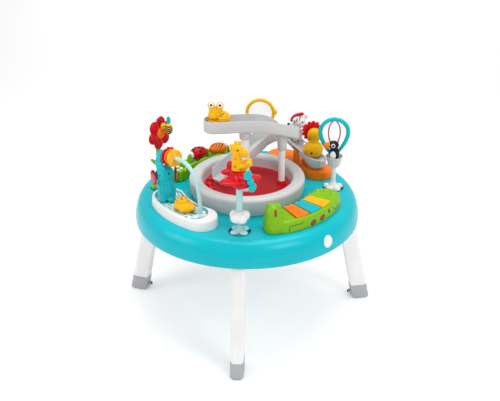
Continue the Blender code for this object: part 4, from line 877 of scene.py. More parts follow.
# ---------------------------------------------------------------- elephant's tub
def build_tub():
    """Tub wall, water deck with the duck's slot, waves, foam and the arch's socket."""
    inner = TUB_R[0] + TUB_WALL
    outer = TUB_R[1] - TUB_WALL
    tub = bent_block(*TUB_R, -168, -106, ON_DECK, 0.462, round_end=0.052, lean=0.003, edge=0.0045)
    hollow = bent_block(inner, outer, -165.6, -113.6, 0.44, 0.47, round_end=0.043, edge=0.001)
    foot_hole = rod(ARCH[0] - UP * 0.012, ARCH[0] + UP * 0.02, ARCH_R + 0.0012)
    add("tub_wall", cut(tub, [hollow, foot_hole]), WHITE, "table", ["tub"])
    deck = bent_block(inner + 0.0006, outer - 0.0006, -165.4, -113.8, 0.4403, WATER_Z, round_end=0.0425,
                      edge=0.001)
    slot = bent_block(DUCK_R - SLOT_HALF, DUCK_R + SLOT_HALF, DUCK_AZIMUTH - 8.5, DUCK_AZIMUTH + 5.5,
                      0.441, 0.47, edge=0.0005, steps=16)
    foot = rod(ARCH[0] - UP * 0.009, ARCH[0] + UP * 0.02, ARCH_R + 0.0012)
    water = add("tub_water", cut(deck, [slot, foot]), TURQUOISE, "table", ["water_deck"])
    waves = ((0.225, -158, -123), (0.234, -160, -122), (0.243, -158, -122), (0.2515, -148, -122),
             (0.2685, -148, -122), (0.277, -158, -122), (0.286, -160, -122), (0.2945, -156, -124))
    for wave, (radius, first, last) in enumerate(waves):
        line = []
        for i in range(int((last - first) / WAVE_STEP) + 1):
            ripple = 0.0012 * math.sin(i * 1.35 + radius * 900)
            line.append(polar(radius + ripple, first + WAVE_STEP * i).xy)
        stripe("tub_wave_%d" % wave, water, (0, 0, WATER_Z), DOWN, line, 0.0052, WHITE)
    for i, (radius, azimuth, size) in enumerate(((0.242, -119.5, 0.012), (0.252, -116.6, 0.01),
                                                 (0.273, -119.8, 0.013), (0.288, -122.0, 0.009))):
        spot("tub_foam_%d" % i, water, polar(radius, azimuth, WATER_Z), DOWN, size, size * 0.8, WHITE,
             turn=azimuth, thick=0.0012)
    collar = lathe([(ARCH_R + 0.0008, 0.456), (ARCH_R + 0.005, 0.456), (ARCH_R + 0.0042, 0.463),
                    (ARCH_R + 0.0034, 0.4638), (ARCH_R + 0.0008, 0.4638)], 40, (ARCH[0].x, ARCH[0].y, 0))
    add("arch_socket", collar, WHITE, "table")


def build_duck():
    at = polar(DUCK_R, DUCK_AZIMUTH, WATER_Z + 0.012)
    turn = at_z(DUCK_AZIMUTH)
    shapes = [ball(at, (0.029, 0.0345, 0.0145), turn),
              ball(at + turn @ vec(0.0, -0.01, 0.012), (0.0195, 0.021, 0.0155), turn),
              ball(at + turn @ vec(0.0, 0.03, 0.006), (0.013, 0.0115, 0.007), turn),
              ball(at + turn @ vec(0.022, -0.014, 0.002), (0.009, 0.012, 0.009), turn),
              ball(at + turn @ vec(0.006, -0.029, 0.005), (0.012, 0.007, 0.008), turn),
              ball(at + turn @ vec(0.02, 0.012, -0.001), (0.011, 0.011, 0.009), turn)]
    skin = fuse(shapes, 0.0012, 3)
    slice_off(skin, (0, 0, at.z - 0.0116), DOWN)
    tongue = block(at - UP * 0.0135, (0.0045, 0.018, 0.012), turn, 0.0006)
    duck = add("duck_skin", join([skin, tongue]), YELLOW, "duck", ["duck"])
    for i, shift in enumerate((-0.008, 0.008)):
        spot("duck_eye_%d" % i, duck, at + turn @ vec(shift, -0.005, 0), DOWN, 0.0026, 0.0028, BLACK)
    for i, shift in enumerate((-0.018, -0.026)):
        stripe("duck_fold_%d" % i, duck, at + turn @ vec(0.0, shift, 0), DOWN,
               [(-0.01, 0.004), (0.0, -0.002), (0.01, 0.004)], 0.0012, HONEY)


def build_elephant():
    at = ELEPHANT_AT
    turn = at_z(6)
    body = loft([[Matrix.Translation((at.x + shift, at.y + back, height)) @ turn @ p
                  for p in rounded_loop(half_x, half_y, min(half_x, half_y) * 0.8)]
                 for half_x, half_y, shift, back, height in (
                     (0.0225, 0.02, 0.0, 0.0, WATER_Z + 0.0003), (0.0265, 0.023, 0.0, 0.0, 0.47),
                     (0.0285, 0.025, -0.001, 0.001, 0.492), (0.0265, 0.0235, -0.003, 0.002, 0.515),
                     (0.02, 0.018, -0.004, 0.003, 0.535))])
    trunk = tube([at + vec(-0.006, -0.016, 0.548), at + vec(-0.012, -0.019, 0.566),
                  at + vec(-0.02, -0.006, 0.584), at + vec(-0.02, 0.011, 0.6),
                  at + vec(-0.012, 0.025, 0.612)], 0.0145, tip=0.008)
    tip = ARCH[-1]
    socket = (ARCH[-1] - ARCH[-2]).normalized()
    feet = [ball(at + turn @ vec(x, -0.0215, 0.464), (0.0105, 0.008, 0.01)) for x in (-0.0125, 0.0125)]
    shapes = [body, trunk, ball(at + vec(-0.006, 0.004, 0.543), (0.029, 0.0265, 0.0285), turn),
              ball(tip + socket * 0.0095, (0.011, 0.011, 0.011))] + feet
    gap = rod(at + turn @ vec(0, -0.04, 0.46), at + turn @ vec(0, 0.04, 0.46), 0.0062)
    skin = cut(fuse(shapes, 0.0014, 5), [gap, rod(tip - socket * 0.02, tip + socket * 0.0003, 0.014)])
    slice_off(skin, (0, 0, WATER_Z + 0.0003), DOWN)
    elephant = add("elephant_skin", skin, TURQUOISE, "table", ["elephant"])
    head_turn = at_z(26)
    side = head_turn @ vec(1.0, 0.0, 0.0)
    facing = head_turn @ vec(0.0, -1.0, 0.0)
    for name, sign in (("elephant_ear_left", -1), ("elephant_ear_right", 1)):
        out = side * sign + facing * 0.3
        ear_at = at + vec(-0.005, 0.004, 0.535) + side * (0.035 * sign) - facing * 0.004
        shell = fuse([ball(ear_at, (0.017, 0.026, 0.0042), aim(out)),
                      ball(ear_at + UP * 0.008, (0.0168, 0.017, 0.0044), aim(out))], 0.0009, 3)
        add(name + "_fine", shell, MAROON, "table", [name])
        inner = ball(ear_at + facing * 0.002 + Vector(out).normalized() * 0.0012, (0.0118, 0.019, 0.004),
                     aim(out))
        add(name + "_inner", inner, PINK, "table")
    for i, shift in enumerate((-0.015, 0.01)):
        spot("elephant_eye_%d" % i, elephant, at + vec(shift, 0, 0.553), BACK, 0.0022, 0.0027, BLACK)
    # painted shade: darker turquoise lines where the elephant's moulded creases and trunk rings would lie
    # in shade
    for i in range(4):
        crease = [(-0.0012, 0.016), (0.0008, 0.004), (-0.0008, -0.01), (0.0008, -0.022)]
        stripe("elephant_crease_shade_%d" % i, elephant, at + vec(-0.0165 + 0.011 * i, 0, 0.503), BACK, crease,
               0.0011, CREASE_SHADE_TURQUOISE, 0.0004)
    for i in range(3):
        stripe("trunk_ring_shade_%d" % i, elephant, at + vec(-0.015 - 0.002 * i, 0, 0.573 + 0.01 * i), BACK,
               [(-0.01, 0.001), (0.0, -0.0015), (0.01, 0.001)], 0.001, CREASE_SHADE_TURQUOISE, 0.0004)


def build_arch():
    """Bent bar with its three discs."""
    foot = rod(ARCH[0] - UP * 0.0085, ARCH[0] + UP * 0.003, ARCH_R + 0.0006)
    add("arch_tube", join([tube(ARCH, ARCH_R, sides=24), foot]), AQUA, "table", ["arch_stem"])
    start = ARCH[-3]
    end = ARCH[-2]
    along = (end - start).normalized()
    for name, material, share, radius, half, lobes in (
            ("disc_yellow", YELLOW, 0.26, 0.0268, 0.0045, 0),
            ("disc_orange", ORANGE, 0.62, 0.0255, 0.0018, 0),
            ("disc_red", RED, 0.86, 0.024, 0.0022, 12)):
        middle = start.lerp(end, share)
        bore = ARCH_R + 0.0009
        soft = half * 0.5
        profile = [(bore, -half), (radius - soft, -half), (radius - soft * 0.3, -half + soft * 0.3),
                   (radius, -half + soft), (radius, half - soft),
                   (radius - soft * 0.3, half - soft * 0.3), (radius - soft, half),
                   (radius * 0.78, half), (radius * 0.74, half - 0.0005), (bore + 0.004, half - 0.0005),
                   (bore + 0.003, half), (bore, half)]
        shape = [lathe(profile, 96, middle, aim(along))]
        for i in range(lobes):
            edge = middle + aim(along) @ polar(radius, 360 * i / lobes)
            shape.append(rod(edge - along * half * 0.85, edge + along * half * 0.85, radius * 0.28,
                             steps=24))
        add(name + "_fine", join(shape), material, name, [name])
        if not lobes:
            for k in range(4):
                dot = middle - along * (half + 0.0002) + aim(along) @ polar(radius * 0.6, 45 + 90 * k)
                add("%s_dot_%d" % (name, k), ball(dot, (0.0026, 0.0026, 0.0008), aim(along)),
                    ORANGE if name == "disc_yellow" else YELLOW, name)


# ---------------------------------------------------------------- crocodile keyboard
def build_croc():
    """Crocodile body with wells for its three keys, and the keys."""
    body = bent_block(0.214, CROC_SIDE_R, -71.0, -8.0, ON_DECK, 0.469, round_end=0.04, edge=0.007,
                      lean=0.004)
    head_at = polar(0.272, -68.4)
    turn = at_z(-68.4)
    head = loft([[Matrix.Translation((head_at.x + shift, head_at.y, height)) @ turn @ p
                  for p in rounded_loop(half, half * 0.92, half * 0.8)]
                 for half, shift, height in (
                     (0.034, 0.0, DECK + 0.0006), (0.0345, 0.0, 0.448), (0.0325, 0.0, 0.466),
                     (0.0285, -0.001, 0.48), (0.027, -0.002, 0.492), (0.0265, -0.002, 0.5))])
    shapes = [body, head, ball((head_at.x - 0.002, head_at.y, 0.497), (0.0262, 0.0255, 0.0215), turn)]
    for shift in (-0.0125, 0.0105):
        shapes.append(ball((head_at.x + shift, head_at.y - 0.004, 0.513), (0.0095, 0.01, 0.0085)))
    for radius, azimuth in ((0.236, -14.5), (0.262, -13.5), (0.286, -16.0)):
        shapes.append(ball(polar(radius, azimuth, 0.464), (0.0135, 0.0135, 0.0115)))
    for radius, azimuth, height in ((0.228, -21.0, 0.466), (0.232, -15.0, 0.469), (0.246, -13.0, 0.47),
                                    (0.26, -12.5, 0.47), (0.276, -14.0, 0.468)):
        shapes.append(ball(polar(radius, azimuth, height), (0.0062, 0.0062, 0.007)))
    for i in range(7):
        shapes.append(ball(polar(0.217, -60 + 6.4 * i, 0.466), (0.0052, 0.007, 0.005),
                           at_z(-60 + 6.4 * i)))
    skin = fuse(shapes, 0.0016, 3)
    slice_off(skin, (0, 0, ON_DECK), DOWN)
    wells = [bent_block(0.2215, 0.2985, azimuth - 4.85, azimuth + 4.85, KEY_LOW - 0.01, 0.483,
                        edge=0.0005, steps=12) for _, azimuth in KEYS]
    croc = add("croc_skin", cut(skin, wells), GREEN, "table", ["croc_body"])
    stripe("croc_mouth", croc, (0.106, -0.27, 0.499), (0.1, 0.99, 0.0),
           [(0.0012, -0.011), (0.0004, -0.004), (0.0, 0.003), (-0.0006, 0.0105)], 0.0066, BRICK)
    for i, (azimuth, height) in enumerate(((-45.6, 0.444), (-38.2, 0.446))):
        outward = polar(1.0, azimuth)
        leaf = polar(CROC_SIDE_R, azimuth, height)
        spot("croc_leaf_%d" % i, croc, leaf, -outward, 0.0115, 0.0075, BLACK, turn=20)
        spot("croc_leaf_rim_%d" % i, croc, leaf + UP * 0.0012, -outward, 0.0092, 0.0052, DEEP_GREEN_PRINT_AND_SHADE,
             turn=20, thick=0.0009)
        spot("croc_dot_%d" % i, croc, leaf, -outward, 0.0052, 0.0042, RED, thick=0.0016)
        spot("croc_dot_low_%d" % i, croc, leaf - UP * 0.0055, -outward, 0.003, 0.0022, RED, thick=0.0016)
    # painted shade: a darker green oval for the notch, and darker green lines along the moulded legs'
    # edges
    spot("croc_notch_shade", croc, polar(CROC_SIDE_R, -31.5, 0.453), -polar(1.0, -31.5), 0.0045, 0.008,
         DEEP_GREEN_PRINT_AND_SHADE, turn=15)
    stripe("croc_leg_shade_line", croc, polar(0.309, -57, 0.448), -polar(1.0, -57),
           [(-0.026, -0.011), (-0.024, 0.003), (-0.01, 0.006), (0.012, 0.006), (0.026, 0.008)],
           0.0026, DEEP_GREEN_PRINT_AND_SHADE)
    stripe("croc_leg_line_2", croc, polar(0.309, -24, 0.45), -polar(1.0, -24),
           [(-0.018, 0.006), (-0.006, -0.004), (0.01, -0.006), (0.018, 0.004)], 0.0022, DEEP_GREEN_PRINT_AND_SHADE)
    materials = {"key_orange": ORANGE, "key_turquoise": TURQUOISE, "key_yellow": YELLOW}
    for name, azimuth in KEYS:
        shapes = [bent_block(0.2225, 0.2975, azimuth - 4.45, azimuth + 4.45, KEY_LOW, KEY_LOW + 0.0155,
                             edge=0.003, steps=20)]
        for radius in (0.232, 0.242, 0.252, 0.262, 0.272, 0.282, 0.29):
            shapes.append(block(polar(radius, azimuth, KEY_LOW + 0.0152), (0.0034, 0.032, 0.0034),
                                at_z(azimuth), 0.001))
        add(name + "_fine", join(shapes), materials[name], name, [name])


# ---------------------------------------------------------------- balloon and toucan
def balloon_outline(centre):
    """Points of the hoop: round above, drawn out towards the basket below."""
    outline = []
    for i in range(72):
        angle = 2 * math.pi * i / 72
        wide = 0.044 * math.cos(angle)
        tall = 0.044 * math.sin(angle)
        if tall < 0:
            wide *= 1 - 0.42 * (-math.sin(angle)) ** 1.6
            tall *= 1.72
        outline.append(centre + vec(wide, 0.0, tall))
    return outline


def build_balloon():
    """Post, basket, hoop, window and the two bands across the window."""
    x, y = BALLOON_AT.xy
    top = [post(BALLOON_AT, DECK + 0.01, DECK + 0.022, 0.0135, 0.0078),
           post(BALLOON_AT, DECK + 0.018, 0.509, 0.0075)]
    build_stalk("balloon_stalk", BALLOON_AT, 5, 0.0325, DECK + 0.011, 20, WHITE, ["balloon_post"], top)
    cup = lathe([(0.0, 0.5093), (0.0165, 0.5093), (0.0183, 0.5105), (0.0195, 0.515), (0.0258, 0.541),
                 (0.0266, 0.5425), (0.0272, 0.544), (0.0268, 0.545), (0.0254, 0.545), (0.0246, 0.544),
                 (0.0165, 0.528), (0.0, 0.528)], 72, (x, y, 0.0))
    basket = add("basket_fine", cup, GREY, "balloon", ["basket"])
    for k in range(9):
        azimuth = 40 * k - 90
        outward = polar(1.0, azimuth)
        stripe("basket_weave_%d" % k, basket, BALLOON_AT + outward * 0.024 + UP * 0.527, -outward,
               [(-0.002, -0.011), (0.002, 0.0), (-0.002, 0.011)], 0.0012, WHITE, 0.0004)
    centre = vec(x - 0.003, y + 0.004, 0.624)
    outline = balloon_outline(centre)
    hub = centre - UP * 0.009
    loops = []
    for point in outline:
        outward = (point - hub).normalized()
        loops.append([point + outward * (0.0068 * math.cos(a)) + vec(0, 0.0062 * math.sin(a), 0)
                      for a in [2 * math.pi * k / 16 for k in range(16)]])
    foot = block((x, centre.y, 0.54), (0.018, 0.01, 0.023))
    add("balloon_hoop", join([loft(loops, closed=True), foot]), TURQUOISE, "balloon", ["balloon_ring"])
    edge = [point - (point - hub).normalized() * 0.0055 for point in outline]
    window = loft([[point + vec(0, offset, 0) for point in edge] for offset in (-0.001, 0.001)])
    add("balloon_window", window, CLEAR, "balloon", ["balloon_lens"])
    for i, sign in enumerate((-1, 1)):
        line = [vec(centre.x + sign * across, centre.y, centre.z + up) for across, up in (
            (0.006, 0.037), (0.015, 0.022), (0.0185, 0.002), (0.0165, -0.018),
            (0.0105, -0.04), (0.005, -0.06))]
        path = smooth_path(line, 6)
        band = loft([[p + vec(dx, dy, 0) for dx, dy in ((-0.0021, -0.0016), (0.0021, -0.0016),
                                                        (0.0021, 0.0016), (-0.0021, 0.0016))]
                     for p in path])
        add("balloon_band_%d" % i, band, MATTE_RED, "balloon")


def build_toucan():
    x = BALLOON_AT.x - 0.004
    y = BALLOON_AT.y - 0.01
    shapes = [ball((x + 0.003, y, 0.556), (0.0165, 0.0105, 0.026)),
              ball((x, y - 0.001, 0.586), (0.017, 0.013, 0.015))]
    skin = fuse(shapes, 0.0009, 4)
    slice_off(skin, (0, y + 0.0065, 0), BACK)
    slice_off(skin, (0, 0, 0.5285), DOWN)
    toucan = add("toucan_skin", skin, BLACK, "balloon", ["toucan"])
    beak = fuse([ball((x - 0.0175, y - 0.003, 0.5868), (0.015, 0.0078, 0.009)),
                 ball((x - 0.0235, y - 0.003, 0.5828), (0.009, 0.0068, 0.008))], 0.0009, 3)
    add("toucan_beak", slice_off(beak, (0, y + 0.0065, 0), BACK), ORANGE, "balloon")
    spot("toucan_belly", toucan, (x - 0.001, y, 0.553), BACK, 0.009, 0.015, WHITE)
    spot("toucan_eye_white", toucan, (x - 0.0015, y, 0.588), BACK, 0.0062, 0.0066, WHITE)
    spot("toucan_eye_blue", toucan, (x - 0.0015, y, 0.588), BACK, 0.0043, 0.0046, BLUE, thick=0.001)
    spot("toucan_pupil", toucan, (x - 0.0015, y, 0.588), BACK, 0.002, 0.0022, BLACK, thick=0.0013)


# ---------------------------------------------------------------- see-saw
def seat_turn():
    """Turn of the see-saw's boat, tipped as it rests."""
    return at_z(SEAT_HEADING) @ Matrix.Rotation(math.radians(SEAT_TILT), 4, "Y")


def build_seesaw():
    """Base with its two uprights, boat and riders."""
    across = at_z(SEAT_HEADING) @ vec(0.0, 1.0, 0.0)
    base = bent_block(0.218, 0.315, 21.5, 78.0, ON_DECK, 0.46, round_end=0.046, edge=0.009, lean=0.003)
    shapes = [base, ball((0.226, 0.128, 0.46), (0.03, 0.03, 0.008))]
    for sign in (-1, 1):
        foot = vec(PIVOT.x, PIVOT.y, 0.45) + across * (0.0205 * sign)
        top = PIVOT + across * (0.0205 * sign)
        shapes.append(block((foot + top) / 2, (0.026, 0.0075, top.z - foot.z), at_z(SEAT_HEADING), 0.002))
        shapes.append(rod(top - across * 0.00375, top + across * 0.00375, 0.013, round_by=0.0015))
    skin = fuse(shapes, 0.0016, 3)
    slice_off(skin, (0, 0, ON_DECK), DOWN)
    add("seesaw_base_fine", skin, ORANGE, "table", ["seesaw_base"])
    ridge = [polar(0.3115, 26.0 + 46.0 * i / 24) + UP * 0.447 for i in range(25)]
    add("seesaw_base_ridge", tube(ridge, 0.0016, sides=8, steps=2), ORANGE, "table")

    place = Matrix.Translation(PIVOT) @ seat_turn()
    rows = [(-0.088, 0.014, 0.012, 0.022), (-0.074, 0.024, 0.004, 0.026), (-0.03, 0.027, -0.002, 0.02),
            (0.02, 0.027, -0.006, 0.018), (0.066, 0.029, -0.015, 0.022), (0.088, 0.025, -0.012, 0.027),
            (0.103, 0.014, 0.0, 0.029)]
    path = smooth_path([vec(along, half, low) for along, half, low, _ in rows], 5)
    rims = smooth_path([vec(along, 0.0, high) for along, _, _, high in rows], 5)
    sections = []
    for point, rim in zip(path, rims):
        half, low, high = point.y, point.z, rim.z
        hull = [(-half, high), (-half, low * 0.4 + high * 0.6), (-half * 0.92, low * 0.75 + high * 0.25),
                (-half * 0.6, low), (0.0, low - 0.0004), (half * 0.6, low),
                (half * 0.92, low * 0.75 + high * 0.25), (half, low * 0.4 + high * 0.6), (half, high),
                (half * 0.75, high), (half * 0.7, high - 0.005), (0.0, high - 0.0055),
                (-half * 0.7, high - 0.005), (-half * 0.75, high)]
        sections.append([place @ vec(point.x, y, z) for y, z in hull])
    notches = [block(place @ vec(0.0, 0.0245 * sign, 0.0), (0.032, 0.016, 0.033), seat_turn())
               for sign in (-1, 1)]
    seat = join([cut(loft(sections), notches),
                 rod(place @ vec(0, -0.0158, 0), place @ vec(0, 0.0158, 0), 0.0105)])
    add("seesaw_boat", seat, GREY, "seesaw", ["seesaw_seat"])
    build_lion(place)
    build_zebra(place)


def build_lion(place):
    at = place @ vec(0.055, 0.0, 0.0185)
    skin = fuse([ball(at + UP * 0.02, (0.0325, 0.029, 0.029)),
                 ball(at + vec(-0.022, -0.006, 0.019), (0.013, 0.012, 0.009)),
                 ball(at + vec(0.0015, 0.006, 0.0665), (0.0235, 0.0195, 0.025)),
                 rod(at + UP * 0.038, at + vec(0.001, 0.003, 0.06), 0.0165, 0.015)], 0.0013, 5)
    slice_off(skin, place @ SEAT_FLOOR, -(seat_turn() @ UP))
    lion = add("lion_skin", skin, YELLOW, "seesaw", ["lion"])
    facing = vec(0.25, -0.95, 0.1).normalized()
    spot("lion_belly", lion, at + vec(-0.006, 0, 0.0165), BACK, 0.0042, 0.0052, BRICK)
    head_at = at + vec(0.01, 0.006, 0.068)
    toward = vec(-0.85, 0.5, 0.0)
    for i, shift in enumerate((-0.007, 0.007)):
        spot("lion_eye_%d" % i, lion, head_at + aim(-toward) @ vec(shift, 0.004, 0), toward, 0.0018,
             0.0022, BLACK)
    spot("lion_nose", lion, head_at - UP * 0.003, toward, 0.0036, 0.0024, MAROON)
    stripe("lion_smile", lion, head_at - UP * 0.009, toward,
           [(-0.007, 0.002), (0.0, -0.001), (0.007, 0.002)], 0.001, MAROON)
    mane_at = at + vec(-0.006, 0.033, 0.07)
    turn = aim(facing)
    mane = [rod(mane_at - facing * 0.0045, mane_at + facing * 0.0045, 0.029, round_by=0.002)]
    for i in range(13):
        tuft = mane_at + turn @ polar(0.029, 360 * i / 13)
        mane.append(ball(tuft, (0.0066, 0.0066, 0.0048), turn))
        fold = mane_at + turn @ polar(0.0235, 360 * (i + 0.5) / 13) + facing * 0.004
        mane.append(ball(fold, (0.003, 0.0022, 0.0014), turn))
    add("lion_mane_fine", fuse(mane, 0.001, 2), RED, "seesaw", ["lion_mane"])


def build_zebra(place):
    at = place @ vec(-0.03, 0.0, 0.017)
    nod = Matrix.Rotation(math.radians(24), 4, "Y")
    head = at + vec(0.007, -0.002, 0.074)
    skin = fuse([ball(at + UP * 0.024, (0.023, 0.02, 0.027)),
                 rod(at + UP * 0.03, at + vec(0.002, 0, 0.064), 0.015, 0.0125),
                 ball(head, (0.025, 0.0175, 0.019), nod),
                 ball(head + vec(0.0135, -0.003, -0.0115), (0.014, 0.014, 0.012), nod),
                 ball(head + vec(0.023, 0.004, 0.013), (0.007, 0.004, 0.01)),
                 ball(head + vec(-0.02, 0.001, -0.016), (0.014, 0.006, 0.0055))], 0.0011, 4)
    slice_off(skin, place @ SEAT_FLOOR, -(seat_turn() @ UP))
    zebra = add("zebra_skin", skin, WHITE, "seesaw", ["zebra"])
    comb = [ball(head + vec(x, -0.004, z), (0.0062, 0.0062, 0.0058)) for x, z in (
        (-0.0225, 0.002), (-0.0205, 0.009), (-0.016, 0.015), (-0.01, 0.0195), (-0.003, 0.0225),
        (0.0045, 0.0245), (0.011, 0.025))]
    add("zebra_comb", fuse(comb, 0.0009, 2), RED, "seesaw")
    add("zebra_nose", ball(head + vec(0.0205, -0.006, -0.0175), (0.0075, 0.009, 0.0066), nod), BLACK,
        "seesaw")
    add("zebra_hoof", ball(head + vec(-0.033, 0.001, -0.015), (0.0055, 0.005, 0.0055)), BLACK, "seesaw")
    spot("zebra_eye", zebra, head + vec(0.0125, 0, -0.001), BACK, 0.0024, 0.0029, BLACK)
    for i, (x, z) in enumerate(((-0.005, 0.0075), (-0.012, 0.001), (0.004, 0.012))):
        stripe("zebra_head_stripe_%d" % i, zebra, head + vec(x, 0, z), BACK,
               [(-0.002, -0.0055), (0.0, 0.0), (-0.0006, 0.0055)], 0.003, BLACK)
    for i in range(3):
        stripe("zebra_stripe_%d" % i, zebra, at + vec(-0.004, 0, 0.026 + 0.01 * i), BACK,
               [(-0.014, 0.002), (-0.004, -0.002), (0.012, 0.001)], 0.003, BLACK)
    stripe("zebra_tail_mark", zebra, at + vec(-0.002, 0, 0.006), BACK,
           [(-0.012, 0.008), (-0.0095, -0.001), (-0.001, -0.005), (0.008, -0.002), (0.011, 0.004)],
           0.005, BLACK)


# ---------------------------------------------------------------- mirror, flower and bugs
def build_mirror():
    x, y = MIRROR_AT.xy
    upright = aim((0.0, -1.0, 0.0))
    circle = [(0.046 + 0.006 * math.cos(a), 0.006 * math.sin(a))
              for a in [2 * math.pi * k / 16 for k in range(16)]]
    hoop = lathe(circle, 96, MIRROR_AT, upright)
    handle = lathe([(0.0, 0.42), (0.004, 0.42), (0.004, 0.5), (0.0052, 0.506), (0.0068, 0.52),
                    (0.0095, 0.533), (0.0105, 0.54), (0.0, 0.542)], 32, (x, y, 0))
    knob = ball(MIRROR_AT + vec(0.052, 0.0, 0.003), (0.0065, 0.0055, 0.01))
    add("mirror_hoop", join([hoop, handle, knob]), YELLOW, "mirror", ["mirror_ring"])
    pane = lathe([(0.0, 0.001), (0.0415, 0.001), (0.0419, 0.0006), (0.0419, -0.0006), (0.0415, -0.001),
                  (0.0, -0.001)], 96, MIRROR_AT, upright)
    add("mirror_pane", pane, CLEAR, "mirror", ["mirror_lens"])


def build_flower():
    """Stalk, petals, flower's eye and bee."""
    x, y = FLOWER_AT.xy
    back = FLOWER_CENTRE - FLOWER_FACING * 0.012
    stem = tube([(x, y, DECK + 0.004), (x - 0.001, y + 0.002, 0.5), (x - 0.004, y + 0.004, 0.56),
                 (back.x - 0.004, back.y + 0.006, 0.6), back], 0.0085, tip=0.008)
    leaf = ball((x - 0.012, y - 0.004, 0.52), (0.021, 0.012, 0.005),
                Matrix.Rotation(math.radians(35), 4, "Y"))
    build_stalk("flower_stalk", FLOWER_AT, 4, 0.0325, DECK + 0.01, 10, GREEN, ["flower_stem"],
                [stem, leaf])
    turn = Matrix.Translation(FLOWER_CENTRE) @ aim(FLOWER_FACING)
    petals = [rod(turn @ vec(0, 0, -0.006), turn @ vec(0, 0, 0.005), 0.024, round_by=0.002)]
    for i in range(6):
        centre = turn @ polar(0.033, 60 * i + 15)
        petals.append(ball(centre, (0.0205, 0.0205, 0.0085), aim(FLOWER_FACING)))
    skin = cut(fuse(petals, 0.0012, 4), [rod(turn @ vec(0, 0, -0.03), turn @ vec(0, 0, -0.002), 0.0105)])
    flower = add("flower_petals", skin, RED, "flower", ["flower_head"])
    for i in range(6):
        inner = polar(0.033, 60 * i + 15)
        line = [(inner.x + 0.012 * math.cos(a), inner.y + 0.012 * math.sin(a))
                for a in [math.radians(60 * i + 15 + d) for d in (-70, -35, 0, 35, 70)]]
        stripe("petal_line_%d" % i, flower, FLOWER_CENTRE, -FLOWER_FACING, line, 0.0016, MAROON)
    centre = [ball(turn @ vec(0, 0, 0.0045), (0.0185, 0.0185, 0.009), aim(FLOWER_FACING))]
    for i in range(8):
        centre.append(ball(turn @ (polar(0.0115, 45 * i) + UP * 0.0105), (0.0036, 0.0036, 0.0028),
                           aim(FLOWER_FACING)))
    add("flower_eye", fuse(centre, 0.0009, 2), ORANGE, "flower")
    build_bee(turn)


def build_bee(turn):
    bee_at = turn @ vec(0.006, 0.0175, 0.0235)
    body_at = bee_at + vec(0.009, -0.004, -0.001)
    head_at = bee_at + vec(-0.008, -0.002, 0.008)
    shave = turn @ vec(0.0, 0.0, 0.0153)
    skin = fuse([ball(body_at, (0.0125, 0.0115, 0.0185)), ball(head_at, (0.0105, 0.0095, 0.0105))],
                0.0009, 3)
    bee = add("bee_skin", slice_off(skin, shave, -FLOWER_FACING), YELLOW, "flower", ["bee"])
    wing = ball(bee_at + vec(0.009, -0.002, 0.027), (0.0068, 0.003, 0.0145))
    add("bee_wing", slice_off(wing, shave, -FLOWER_FACING), TURQUOISE, "flower")
    for i in range(4):
        stripe("bee_stripe_%d" % i, bee, body_at + UP * (0.0105 - 0.0068 * i), (-0.25, 0.97, 0),
               [(-0.013, 0.0016), (0.0, -0.0006), (0.013, 0.0016)], 0.004, BLACK)
    spot("bee_eye", bee, head_at + vec(-0.001, 0, 0.002), (-0.25, 0.97, 0), 0.0019, 0.0023, BLACK)
    for i, (shift, reach) in enumerate(((-0.004, -0.0065), (0.0015, 0.0005))):
        root = head_at + vec(shift, 0.0, 0.008)
        feeler = tube([root, root + vec(reach * 0.4, -0.002, 0.0075), root + vec(reach, -0.003, 0.0125),
                       root + vec(reach * 1.9, -0.003, 0.014)], 0.0013, sides=10)
        tip = ball(root + vec(reach * 1.9, -0.003, 0.014), (0.0022, 0.0022, 0.0022))
        add("bee_feeler_%d" % i, join([feeler, tip]), BLACK, "flower")


def build_pod():
    """Leafy pod with its bucket, beads and two rolling bugs."""
    pod = [bent_block(0.213, 0.29, 100.0, 160.0, ON_DECK, 0.457, round_end=0.034, edge=0.006, lean=0.003)]
    bugs = (("ladybug", RED, 0.25, 136.0, 0.483, 0.0218),
            ("tiger_bug", ORANGE, 0.252, 117.8, 0.48, 0.0205))
    for azimuth, radius, length in ((148, 0.2195, 0.026), (136, 0.2185, 0.026), (122, 0.2185, 0.032),
                                    (109, 0.219, 0.026), (150, 0.284, 0.028), (127, 0.284, 0.028)):
        pod.append(ball(polar(radius, azimuth, 0.462), (0.0062, length, 0.0135), at_z(azimuth)))
    for i in range(12):
        rim = BUCKET_AT + polar(0.033, 30 * i)
        pod.append(post(rim, DECK + 0.001, 0.47, 0.0075, round_by=0.002, steps=20))
    pod.append(post(BUCKET_AT, ON_DECK, 0.4715, 0.031, 0.0345))
    for _, _, radius, azimuth, height, _ in bugs:
        at = polar(radius, azimuth, height)
        along = at_z(azimuth) @ vec(0.0, 1.0, 0.0)
        for sign in (-1, 1):
            end = at + along * (0.0385 * sign)
            pod.append(ball((end.x, end.y, at.z - 0.013), (0.01, 0.0028, 0.019), at_z(azimuth)))
    skin = fuse(pod, 0.0015, 3)
    slice_off(skin, (0, 0, ON_DECK), DOWN)
    hollows = [post(BUCKET_AT, 0.46, 0.49, 0.029)]
    for _, _, radius, azimuth, height, _ in bugs:
        hollows.append(ball(polar(radius, azimuth, height), (0.0268, 0.0365, 0.0268), at_z(azimuth)))
    add("pod_skin", cut(skin, hollows), GREEN, "table", ["bug_pod"])
    for i in range(5):
        bit = BUCKET_AT + polar(0.015, 72 * i + 10) + UP * 0.464
        add("pod_bead_%d" % i, ball(bit, (0.0058, 0.0058, 0.0045)), WHITE, "table")
    for name, material, radius, azimuth, height, size in bugs:
        build_bug(name, material, polar(radius, azimuth, height), azimuth, size)


